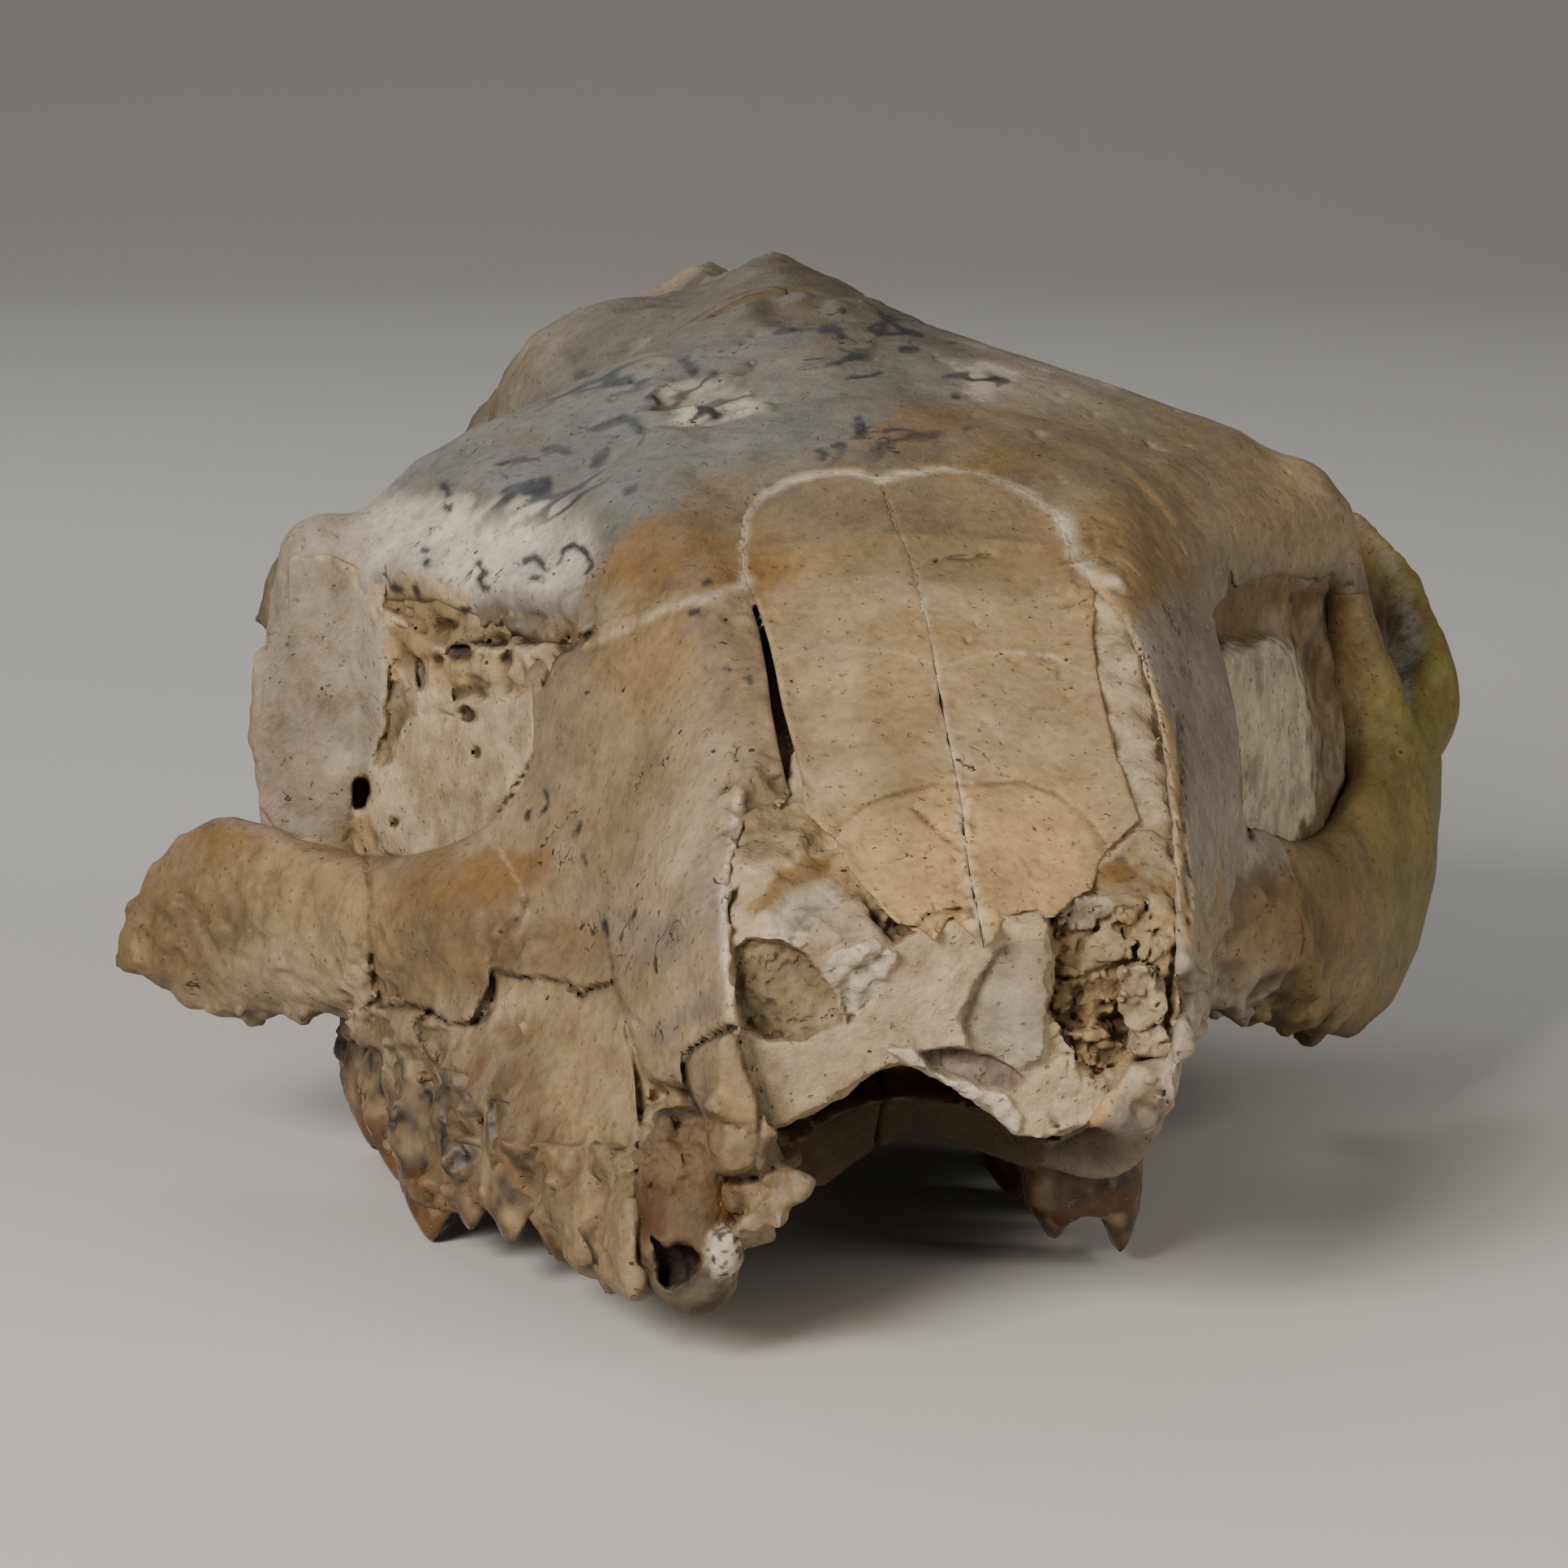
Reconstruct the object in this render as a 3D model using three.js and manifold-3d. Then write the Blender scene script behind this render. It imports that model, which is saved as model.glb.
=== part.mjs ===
// A fossil oreodont skull without its lower jaw, in millimetres, +Z up, snout towards -Y.
// The snout's tip is broken away, hard sediment fills the nose and the orbits, and the cheek
// teeth sit in their sockets. The bones grew together, so they are one solid here. The skull
// is drawn with its broken nasal tips at y = 0 and the tooth tips at z = 0, and is moved at
// the end so that the middle of its outline on the ground is the origin.
// The specimen's own left is +X.

import * as THREE from "three";
import { ParametricGeometry } from "three/addons/geometries/ParametricGeometry.js";
import { mergeVertices } from "three/addons/utils/BufferGeometryUtils.js";
import Module from "manifold-3d";

const wasm = await Module();
wasm.setup();

// Driving dimensions

const PIECE_GAP = 0.35;
const GROUND = 0;
const WALL_FRONT = 3.6;
const NASAL_UNDERSIDE = 35.4;
const SOCKET_ROOF = 13;
const GUM_LINE = 9.5;

// Face: the muzzle's outline at eight places along y. Each outline goes round from the top of
// the midline over the left cheek (+x), the gum, the palate and the right cheek, as [x, z].
const FACE = [
  { y: 0, outline: [[0, 37.4], [10, 36.6], [17.6, 35], [18.4, 28], [17.4, 20], [12, 17],
    [-1, 17], [-14, 14], [-20.5, 14], [-21, 26], [-19.4, 35], [-10, 36.6]] },
  { y: 10, outline: [[0, 42.9], [10, 42], [18.9, 41.4], [19.8, 31], [18.6, 18], [12, 14],
    [-1, 15], [-14, 10.5], [-24.5, 10], [-23.2, 27], [-19.6, 41.5], [-10, 41.8]] },
  { y: 18, outline: [[0, 47.6], [10, 46.8], [19.6, 46.8], [21.4, 33], [19.4, 15], [11.5, 12],
    [-1, 13.6], [-13, 8.6], [-28, 9], [-26, 27], [-19, 46.2], [-10, 46.4]] },
  { y: 30, outline: [[0, 54.6], [10, 53.7], [19.8, 53.8], [25.4, 36], [20.4, 13], [11.5, 11],
    [-1, 13.6], [-13, 8.4], [-32, 9.5], [-29.5, 29], [-18.5, 53], [-10, 53.2]] },
  { y: 42, outline: [[0, 61.4], [11, 60.6], [21, 60], [29, 38], [21.4, 13], [11.5, 10.5],
    [-3, 14.6], [-16, 8.8], [-36.5, 11], [-33.5, 30], [-20.5, 58.8], [-11, 60.2]] },
  { y: 54, outline: [[0, 66.8], [12, 66.2], [23.5, 64], [33.2, 40], [22, 13.5], [11, 10.5],
    [-6, 15.6], [-22, 9.5], [-40, 12], [-37, 31], [-24, 62.4], [-12, 65.8]] },
  { y: 66, outline: [[0, 70.2], [13, 69.4], [26, 65], [33, 42], [23, 14], [11.5, 10.5],
    [-8, 16.2], [-26, 10], [-42.5, 12.5], [-37.5, 33], [-26, 63.5], [-13, 69]] },
  { y: 75, outline: [[0, 72], [12, 71], [22, 66], [24, 42], [23, 16], [11.5, 12],
    [-8, 17], [-26, 12], [-39, 15], [-28, 36], [-22, 65], [-12, 70.5]] },
];

// Forehead: half width, midline height and the rim's height on each side, along y. Its rim is
// the brow over each orbit and ends in the processes behind them at y = 95.
const FOREHEAD = [
  { y: 47, half: 21, top: 63.6, left: 60, right: 58.5, deep: 12 },
  { y: 58, half: 27.5, top: 67.8, left: 63, right: 61, deep: 9 },
  { y: 70, half: 34.5, top: 71.2, left: 63.6, right: 60.5, deep: 7 },
  { y: 82, half: 42.5, top: 73.6, left: 63.2, right: 59.5, deep: 6 },
  { y: 91, half: 49.5, top: 75.2, left: 62.2, right: 58.5, deep: 6 },
  { y: 97, half: 50, top: 76.4, left: 62, right: 58.5, deep: 6 },
  { y: 103, half: 41, top: 77.5, left: 64.5, right: 61.5, deep: 7 },
  { y: 111, half: 27, top: 79, left: 68.5, right: 66, deep: 9 },
  { y: 119, half: 15, top: 80.4, left: 73, right: 71, deep: 10 },
  { y: 130, half: 7, top: 80.8, left: 75, right: 74, deep: 10 },
];

// Forehead section: the roof's and brow's points as shares of the half width and of the fall to
// the rim, the rim's middle and underside, and the floor's depth below the midline.
const FOREHEAD_SECTION = {
  roof: { out: 0.42, fall: 0.2 }, brow: { out: 0.8, fall: 0.62 }, rim: 0.35, under: 0.86,
  floor: { out: 0.4, side: 17, middle: 20 },
};

// Braincase: half width, the heights of its floor and roof, and how wide its shoulders are,
// along y.
const BRAINCASE = [
  { y: 62, half: 13, low: 16, high: 66, shoulder: 0.8 },
  { y: 84, half: 14, low: 17, high: 71, shoulder: 0.8 },
  { y: 100, half: 17, low: 21, high: 74, shoulder: 0.8 },
  { y: 114, half: 22, low: 24, high: 76.5, shoulder: 0.8 },
  { y: 130, half: 27, low: 24, high: 77, shoulder: 0.8 },
  { y: 146, half: 29, low: 22, high: 75.5, shoulder: 0.74 },
  { y: 160, half: 29, low: 20, high: 73.5, shoulder: 0.64 },
  { y: 170, half: 26, low: 21, high: 71.5, shoulder: 0.56 },
];

// Braincase section: how far the crown falls beside the midline, how far the widest point lies
// below the middle, and the flank's and floor's points.
const BRAINCASE_SECTION = {
  crown: { out: 0.5, fall: 3.5 }, shoulderRise: 0.5, wallDrop: 2, flank: { out: 0.82, rise: 0.35 },
  floor: { out: 0.4, rise: 1 },
};

// Limbs: each bar, arch or ridge is a rounded section carried along a curve. A station is
// [x, y, z, half thickness across, half depth up and down].
const LEFT_JUGAL = [[13, 42, 29, 3, 5], [25.5, 52, 28.5, 6.4, 9], [35, 62, 27, 6, 8.5],
  [43, 75, 22.5, 4.6, 8.5], [50, 87, 21, 4.2, 11], [56, 98, 25, 3.8, 12.5], [60.6, 108, 31, 3, 9],
  [62, 117, 37, 2.4, 4.5]];
const LEFT_JUGAL_FLANGE = [[52, 93, 22, 3, 8], [49.5, 92.5, 15, 2.8, 6], [47.2, 92, 9.4, 1.3, 2.4]];
const LEFT_TEMPORAL_ARCH = [[24, 154, 42, 8, 8], [38, 157, 46.5, 5.5, 7], [50, 152, 50, 3.4, 5.5],
  [58.6, 143, 50.5, 2.4, 5.4], [62.4, 132, 47, 2.1, 6.2], [64, 122, 42, 2, 7],
  [64, 113.5, 37.6, 1.9, 5.4]];
const LEFT_ORBIT_BAR = [[47, 94.5, 57.5, 4.6, 3.8], [49.5, 95.5, 52, 4.4, 3.8], [51.5, 97, 45, 4.4, 3.6],
  [54, 98.5, 36, 5, 4], [55, 99, 27, 5, 4]];
const RIGHT_JUGAL = [[-17, 42, 28, 4, 5], [-28, 52, 28, 7.4, 8.6], [-36, 60, 27, 7, 8],
  [-43.5, 70, 26, 5.8, 7.6], [-50.5, 80, 24.5, 5, 8.2], [-55.6, 86.5, 24, 4.4, 9.8], [-60.4, 91, 22, 3.4, 7.4],
  [-66, 94.6, 19, 0.8, 1.2]];
const RIGHT_ORBIT_BAR = [[-46, 93.5, 56.5, 5, 4.5], [-47, 94.5, 50, 5, 4.4], [-47, 95, 41, 6.4, 4.4],
  [-47, 94, 33, 6, 5], [-47.5, 90, 27, 4.6, 5]];
const RIGHT_TEMPORAL_STUB = [[-24, 152, 42, 8, 9], [-36, 152, 44, 6, 7], [-46, 148, 46, 3.4, 5.5]];
const LEFT_GLENOID = [[20, 142, 33, 9, 7], [36, 142, 36, 8, 4.4], [47, 143, 41, 6.4, 4.2],
  [55, 144, 46.5, 4.4, 5]];
const RIGHT_GLENOID = [[-20, 142, 33, 9, 7], [-34, 142, 35, 8, 4.4], [-43, 142, 38, 6, 4.2]];
const SAGITTAL_CREST = [[0, 116, 75, 5, 5], [0, 128, 76, 3.4, 5.6], [-0.5, 144, 74.5, 2.2, 5.4],
  [-1, 160, 73, 2.2, 4.8], [-1.5, 173, 71.5, 3, 4]];
const NUCHAL_CREST = [[-30.5, 160, 36, 3, 5], [-30.5, 163, 47, 2.8, 5], [-24.5, 167, 59, 2.8, 5],
  [-11.5, 171.5, 68.6, 2.8, 4.6], [0, 173.5, 71.4, 3, 4.2], [11.5, 171.5, 68.2, 2.8, 4.6],
  [24.5, 167, 58, 2.8, 5], [30.5, 163, 46, 2.8, 5], [30.5, 160, 35, 3, 5]];
const SKULL_BASE = [[-5, 86, 22, 6, 6], [-3, 104, 23, 6, 5], [0, 124, 22, 8, 5.5],
  [0, 146, 22, 10, 6], [0, 168, 25, 11, 6]];
const RIGHT_GUM = [[-22.5, 10, 14.5, 4.4, 5], [-26.5, 22, 14.5, 5, 6.4], [-31.5, 40, 15.5, 6, 7],
  [-36, 58, 17, 7.6, 7.6], [-38.4, 76, 18, 8, 8], [-39.4, 90, 19.5, 7, 8], [-38, 99, 21, 4.6, 6]];
const LEFT_GUM = [[15.4, 30, 16, 4.2, 5.6], [16, 44, 16, 5.2, 6.8], [17, 62, 16.5, 6.2, 7.4],
  [19, 86, 18, 6.6, 7.4], [19, 99, 20, 4.6, 6]];
const PALATE_BACK = [[-9, 62, 19, 17, 5], [-9, 80, 19.5, 19, 5], [-9, 96, 21.5, 15, 4.4]];
const RIGHT_PTERYGOID = [[-15, 92, 16, 2.4, 7], [-11, 106, 16, 1.8, 8], [-9, 122, 19, 1.6, 6]];
const LEFT_PTERYGOID = [[5, 92, 16, 2.4, 7], [5, 106, 16, 1.8, 8], [7, 122, 19, 1.6, 6]];
const SNOUT_KNOB = [[15.4, 22, 20, 3, 4], [15.4, 12, 21.5, 3.2, 4.4], [14.9, 5.6, 23.2, 2.8, 3]];

// Rounded masses: centre and half sizes along x, y and z.
const EAR_CAPSULE = { x: 15, y: 147, z: 18.5, half: [6.5, 10, 9.5] };
const CONDYLE = { x: 9, y: 171, z: 27, half: [6.5, 7.5, 7.5] };
const ORBIT = { x: 41, y: 75, z: 45.5, half: [23, 21.5, 13.5] };

// Jaw processes at the back that the skull rests on.
const REST_PROCESS = [[23, 158, 34, 7, 6], [24, 160, 22, 4.6, 5], [23.4, 162, 9, 3.4, 3.8],
  [22.8, 163, -1.5, 2.8, 3]];

// Orbit sediment: an egg in each orbit, trimmed along a line in plan from the orbit's front
// rim to its back rim.
const ORBIT_FILL = { x: 36, y: 75.5, z: 45, half: [23, 22, 14.2] };
const ORBIT_TRIM = { front: [33, 55], leftBack: [50.5, 95], rightBack: [47.5, 94], thick: 40 };

// Nose: the hollow behind the broken front, the notch where the palate is lost, and the
// corners where the nasal bones are lost beside their tips.
const NOSE_HOLLOW = [
  { y: -4, outline: [[0, 33], [9, 33.2], [15.6, 31], [16, 26], [15.6, 21], [9, 17.5], [-4, 17.5],
    [-14, 17.5], [-16.6, 21], [-17.6, 27], [-16.6, 31.5], [-9, 33]] },
  { y: 6, outline: [[0, 38], [9, 37.6], [16, 35.8], [16.8, 29], [15.6, 21], [9, 17.5], [-4, 17.5],
    [-14, 17.5], [-17, 21], [-18.6, 29], [-17, 36.2], [-9, 37.6]] },
  { y: 18, outline: [[0, 44.8], [9, 44], [15.6, 42.6], [17.6, 34], [15.4, 23], [9, 18.5], [-4, 18.5],
    [-14, 18.5], [-18, 23], [-20, 33], [-15.6, 42], [-9, 43.6]] },
  { y: 30, outline: [[0, 50], [8, 49], [13, 46], [15, 36], [13, 26], [8, 20.5], [-4, 20],
    [-12, 20.5], [-15, 26], [-16.5, 36], [-13, 46], [-8, 49]] },
];
const NOSE_CENTRE_Z = 30;
const FILL_INSET = 0.5;
const PALATE_NOTCH = [[-2.5, -6, 12, 13.6, 8], [-2.5, 10, 12, 13.6, 8], [-2.5, 23, 11.5, 13.2, 7]];
const LOST_CORNERS = [
  [[-14.6, -5, 38, 5, 7], [-14.4, 5, 42, 4.6, 6.4], [-13.6, 12.5, 46, 2.4, 4]],
  [[13.4, -5, 36, 4.8, 8], [14, 4, 39.6, 3.8, 8], [15, 9.5, 43.6, 2, 5]],
];
const NOSE_SPLIT = [[-13.4, 44, 61, 0.6, 4], [-13.6, 34, 56, 1, 5], [-13.3, 24, 50, 1.2, 5],
  [-12.6, 12, 43.5, 1, 5]];
const FILL_ARCH = [[-3.4, -8, 12, 13, 13.6], [-3.4, 14, 12, 13, 13], [-4, 31, 10, 12, 10.4]];
const FRONT_OF_FILL = { x: 0, y: -7, z: 30, half: [27, 12, 30] };
const BIG_HOLE = [[0, 182, 37, 7.6, 6.2], [0, 168, 37, 7, 6], [0, 154, 38, 5, 4.5]];
const REAR_NOSTRIL = [[-4.5, 114, 15, 6, 6], [-5, 98, 17, 6, 5.5], [-5.5, 86, 21, 5, 3]];

// Teeth: centre of the crown, half width and half length, points along the outer wall, and how
// far the crown's tips clear the ground. A negative clearance is worn flat at the ground.
const TEETH = [
  { name: "right_premolar_1", x: -25.8, y: 17.8, half: [4.4, 4.5], cusps: 1, lift: 4.2, colour: "pale" },
  { name: "right_premolar_2", x: -28.8, y: 27.8, half: [4.9, 4.9], cusps: 1, lift: 4.6, colour: "pale" },
  { name: "right_premolar_3", x: -31.6, y: 38, half: [5, 4.6], cusps: 1, lift: 4.4, colour: "brown" },
  { name: "right_premolar_4", x: -33.8, y: 47.6, half: [5.8, 4.3], cusps: 1, lift: 2.4, colour: "brown" },
  { name: "right_molar_1", x: -35.8, y: 59.2, half: [7, 6.6], cusps: 2, lift: -1, colour: "brown" },
  { name: "right_molar_2", x: -37.4, y: 73.8, half: [7.2, 7.2], cusps: 2, lift: -1, colour: "brown" },
  { name: "right_molar_3", x: -38, y: 89.8, half: [7, 7.9], cusps: 2, lift: 2, colour: "brown" },
  { name: "left_premolar_3", x: 15.8, y: 40, half: [4.9, 4.7], cusps: 1, lift: 1, colour: "brown" },
  { name: "left_premolar_4", x: 16.2, y: 49.8, half: [5.4, 4.3], cusps: 1, lift: 2.4, colour: "brown" },
  { name: "left_molar_1", x: 16, y: 61.4, half: [5.8, 6.6], cusps: 2, lift: -1, colour: "brown" },
  { name: "left_molar_2", x: 17.6, y: 76, half: [6.2, 7.2], cusps: 2, lift: -1, colour: "brown" },
  { name: "left_molar_3", x: 18.6, y: 91.6, half: [6.2, 7.6], cusps: 2, lift: 2, colour: "brown" },
];

// Every tooth's form: sides round it, how square its outline is, the widths of its root, neck,
// rim and hollow as shares of the crown, and how deep its valleys and points run.
const TOOTH_FORM = {
  sides: 12, squareness: 0.7, root: 0.74, neck: 0.84, rim: 0.84, hollow: 0.34, hollowRise: 3.4,
  bulgeBelowGum: 3, innerShare: 0.7, valley: 0.45, peak: 0.65,
};

const CANINE = [[-22.5, 8.4, 19, 4, 4], [-22.6, 8, 14, 4.8, 4.6], [-22.8, 7.4, 9.4, 4.8, 4.6],
  [-22.4, 7.2, 6.4, 3.8, 3.6], [-22.2, 7.2, 5.1, 2, 2]];

// Shapes: closed surfaces from rings of points, and their joins and cuts

// A closed curve through hand-set points, with a number of steps between neighbours.
function ringThrough(points, between) {
  const curve = new THREE.CatmullRomCurve3(points, true, "catmullrom", 0.5);
  const steps = points.length * between;
  return Array.from({ length: steps }, (_, i) => curve.getPoint(i / steps));
}

// One surface over a list of rings, each end drawn together to its middle.
function skin(rings) {
  const middle = (ring) =>
    ring.reduce((sum, p) => sum.add(p), new THREE.Vector3()).divideScalar(ring.length);
  const closedEnd = (ring) => ring.map(() => middle(ring));
  const all = [closedEnd(rings[0]), ...rings, closedEnd(rings.at(-1))];
  const around = rings[0].length;
  const along = all.length - 1;
  const place = (u, v, target) => {
    const ring = all[Math.round(u * along)];
    target.copy(ring[Math.round(v * around) % around]);
  };
  return solid(new ParametricGeometry(place, along, around));
}

// Rings between the given ones, on a smooth curve through each ring's like points.
function smoothRings(rings, steps) {
  const lines = rings[0].map((_, i) => {
    const through = rings.map((ring) => ring[i]);
    return new THREE.CatmullRomCurve3(through, false, "catmullrom", 0.5);
  });
  return Array.from({ length: steps + 1 }, (_, k) => lines.map((line) => line.getPoint(k / steps)));
}

// A closed geometry as a solid whose faces point outwards.
function solid(geometry) {
  const bare = geometry.index ? geometry : mergeVertices(geometry);
  bare.deleteAttribute("normal");
  bare.deleteAttribute("uv");
  const merged = mergeVertices(bare, 1e-4);
  const corners = Array.from(merged.index.array);
  const triangles = [];
  for (let i = 0; i < corners.length; i += 3) {
    const [a, b, c] = corners.slice(i, i + 3);
    if (a !== b && b !== c && c !== a) triangles.push(a, b, c);
  }
  const build = (list) =>
    new wasm.Manifold(
      new wasm.Mesh({
        numProp: 3,
        vertProperties: new Float32Array(merged.attributes.position.array),
        triVerts: new Uint32Array(list),
      }),
    );
  const made = build(triangles);
  return made.volume() < 0 ? build(triangles.reverse()) : made;
}

// A solid whose outline in the xz plane changes along y.
function faceLoft(stations, steps, between = 2) {
  const rings = stations.map(({ y, outline }) =>
    ringThrough(outline.map(([x, z]) => new THREE.Vector3(x, y, z)), between),
  );
  return skin(smoothRings(rings, steps));
}

// A rounded section carried along a curve, across a given up direction.
function limb(stations, steps, around = 12, up = new THREE.Vector3(0, 0, 1)) {
  const path = new THREE.CatmullRomCurve3(
    stations.map(([x, y, z]) => new THREE.Vector3(x, y, z)), false, "catmullrom", 0.5);
  const size = new THREE.CatmullRomCurve3(
    stations.map(([, , , across, deep]) => new THREE.Vector3(across, deep, 0)), false, "catmullrom", 0.5);
  const rings = Array.from({ length: steps + 1 }, (_, k) => {
    const centre = path.getPoint(k / steps);
    const forward = path.getTangent(k / steps);
    const side = new THREE.Vector3().crossVectors(forward, up).normalize();
    const rise = new THREE.Vector3().crossVectors(side, forward).normalize();
    const half = size.getPoint(k / steps);
    return Array.from({ length: around }, (_, i) => {
      const turn = (i / around) * 2 * Math.PI;
      return centre.clone()
        .addScaledVector(side, half.x * Math.cos(turn))
        .addScaledVector(rise, half.y * Math.sin(turn));
    });
  });
  return skin(rings);
}

// An ellipsoid with its half sizes along x, y and z.
function egg([x, y, z], half, detail = 16) {
  const ball = new THREE.SphereGeometry(1, detail, Math.round(detail * 0.6));
  ball.scale(...half);
  ball.translate(x, y, z);
  return solid(ball);
}

// A limb mirrored to the other side of the midline.
const mirrored = (stations) => stations.map(([x, ...rest]) => [-x, ...rest]);
const joined = (solids) => solids.reduce((sum, s) => sum.add(s));
const BACKWARD = new THREE.Vector3(0, 1, 0);

// Forehead: a lens-shaped section, thin at the brow and deep on the midline.
function forehead() {
  const { roof, brow, rim, under, floor } = FOREHEAD_SECTION;
  const stations = FOREHEAD.map(({ y, half, top, left, right, deep }) => ({
    y,
    outline: [
      [0, top],
      [half * roof.out, top - (top - left) * roof.fall],
      [half * brow.out, top - (top - left) * brow.fall],
      [half, left - deep * rim],
      [half * under, left - deep],
      [half * floor.out, top - floor.side],
      [0, top - floor.middle],
      [-half * floor.out, top - floor.side],
      [-half * under, right - deep],
      [-half, right - deep * rim],
      [-half * brow.out, top - (top - right) * brow.fall],
      [-half * roof.out, top - (top - right) * roof.fall],
    ],
  }));
  return faceLoft(stations, 11);
}

// Braincase: rounded below, with flatter walls that lean in to the crest above.
function braincase() {
  const { crown, shoulderRise, wallDrop, flank, floor } = BRAINCASE_SECTION;
  const stations = BRAINCASE.map(({ y, half, low, high, shoulder }) => {
    const middle = (low + high) / 2;
    const leftSide = [
      [half * shoulder * crown.out, high - crown.fall],
      [half * shoulder, middle + (high - middle) * shoulderRise],
      [half, middle - wallDrop],
      [half * flank.out, low + (middle - low) * flank.rise],
      [half * floor.out, low + floor.rise],
    ];
    const rightSide = leftSide.map(([x, z]) => [-x, z]).reverse();
    return { y, outline: [[0, high], ...leftSide, [0, low], ...rightSide] };
  });
  return faceLoft(stations, 8);
}

// A ring of points round a tooth at height z, squarish, at a share of the crown's half sizes.
function toothRing({ x, y, half }, z, share, grow = 0) {
  const [across, along] = half;
  return Array.from({ length: TOOTH_FORM.sides }, (_, i) => {
    const turn = ((i + 0.5) / TOOTH_FORM.sides) * 2 * Math.PI;
    const square = (value) => Math.sign(value) * Math.abs(value) ** TOOTH_FORM.squareness;
    return new THREE.Vector3(
      x + (across * share + grow) * square(Math.cos(turn)),
      y + (along * share + grow) * square(Math.sin(turn)),
      z,
    );
  });
}

// A tooth: a root block in the socket and a crown, whose rim rises and falls in points round a
// hollow. The outer points are the longest.
function tooth(shape) {
  const outward = Math.sign(shape.x);
  const rim = toothRing(shape, 0, TOOTH_FORM.rim).map((point) => {
    const outer = (point.x - shape.x) * outward > 0;
    const place = (point.y - shape.y) / shape.half[1];
    const tipPlace = shape.cusps === 2 ? 0.5 : 0;
    const wave = (1 + Math.cos(shape.cusps * Math.PI * (place - tipPlace))) / 2;
    const fall = (outer ? 1 : TOOTH_FORM.innerShare) * (TOOTH_FORM.valley + TOOTH_FORM.peak * wave);
    point.z = GUM_LINE - (GUM_LINE - shape.lift) * fall;
    return point;
  });
  return skin([
    toothRing(shape, SOCKET_ROOF - PIECE_GAP, TOOTH_FORM.root),
    toothRing(shape, GUM_LINE, TOOTH_FORM.neck),
    toothRing(shape, GUM_LINE - TOOTH_FORM.bulgeBelowGum, 1),
    rim,
    toothRing(shape, Math.max(shape.lift, 0) + TOOTH_FORM.hollowRise, TOOTH_FORM.hollow),
  ]);
}

// The hole that a tooth sits in, open below.
function socket(shape) {
  return skin([
    toothRing(shape, SOCKET_ROOF, TOOTH_FORM.root, PIECE_GAP),
    toothRing(shape, GUM_LINE, TOOTH_FORM.neck, PIECE_GAP),
    toothRing(shape, GUM_LINE - TOOTH_FORM.bulgeBelowGum, 1, PIECE_GAP),
    toothRing(shape, GROUND - TOOTH_FORM.bulgeBelowGum, 1, PIECE_GAP),
  ]);
}

// Everything under the ground line, which leaves flat facets where the skull rests.
function belowGround() {
  const slab = new THREE.BoxGeometry(200, 260, 20);
  slab.translate(0, 80, GROUND - 10);
  return solid(slab);
}

// The broken front of the side walls, below the nasal tips that reach past it.
function frontTrim() {
  const slab = new THREE.BoxGeometry(60, 20, 60);
  slab.translate(0, WALL_FRONT - 10, NASAL_UNDERSIDE - 30);
  return solid(slab);
}

// The skull's bone, with its orbits, nose, sockets and the seats of the sediment taken out.
function cranium() {
  const face = faceLoft(FACE, 11)
    .subtract(egg([ORBIT.x, ORBIT.y, ORBIT.z], ORBIT.half, 12))
    .subtract(egg([-ORBIT.x, ORBIT.y, ORBIT.z], ORBIT.half, 12));
  const bones = joined([
    face,
    forehead(),
    braincase(),
    limb(LEFT_JUGAL, 10, 8),
    limb(LEFT_JUGAL_FLANGE, 3, 8, BACKWARD),
    limb(LEFT_TEMPORAL_ARCH, 10, 8),
    limb(LEFT_ORBIT_BAR, 5, 8, BACKWARD),
    limb(LEFT_GLENOID, 4, 8),
    limb(RIGHT_JUGAL, 10, 8),
    limb(RIGHT_ORBIT_BAR, 5, 8, BACKWARD),
    limb(RIGHT_TEMPORAL_STUB, 3, 8),
    limb(RIGHT_GLENOID, 3, 8),
    limb(SAGITTAL_CREST, 5, 8),
    limb(NUCHAL_CREST, 10, 8, BACKWARD),
    limb(SKULL_BASE, 5, 8),
    limb(RIGHT_GUM, 8, 8),
    limb(LEFT_GUM, 6, 8),
    limb(PALATE_BACK, 3, 10),
    limb(RIGHT_PTERYGOID, 3, 6),
    limb(LEFT_PTERYGOID, 3, 6),
    limb(SNOUT_KNOB, 3, 8),
    egg([EAR_CAPSULE.x, EAR_CAPSULE.y, EAR_CAPSULE.z], EAR_CAPSULE.half, 10),
    egg([-EAR_CAPSULE.x, EAR_CAPSULE.y, EAR_CAPSULE.z], EAR_CAPSULE.half, 10),
    egg([CONDYLE.x, CONDYLE.y, CONDYLE.z], CONDYLE.half, 10),
    egg([-CONDYLE.x, CONDYLE.y, CONDYLE.z], CONDYLE.half, 10),
    limb(REST_PROCESS, 4, 8, BACKWARD),
    limb(mirrored(REST_PROCESS), 4, 8, BACKWARD),
  ]);
  const cuts = joined([
    faceLoft(NOSE_HOLLOW, 5, 1),
    frontTrim(),
    ...LOST_CORNERS.map((corner) => limb(corner, 3, 8)),
    limb(PALATE_NOTCH, 3, 10),
    limb(NOSE_SPLIT, 5, 6),
    limb(BIG_HOLE, 3, 10),
    limb(REAR_NOSTRIL, 3, 8),
    belowGround(),
    limb(CANINE.map(([x, y, z, a, b]) => [x, y, z, a + PIECE_GAP, b + PIECE_GAP]), 4, 10, BACKWARD),
    ...TEETH.map(socket),
    orbitFill(-1, PIECE_GAP),
    orbitFill(1, PIECE_GAP),
  ]);
  return bones.subtract(cuts);
}

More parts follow.
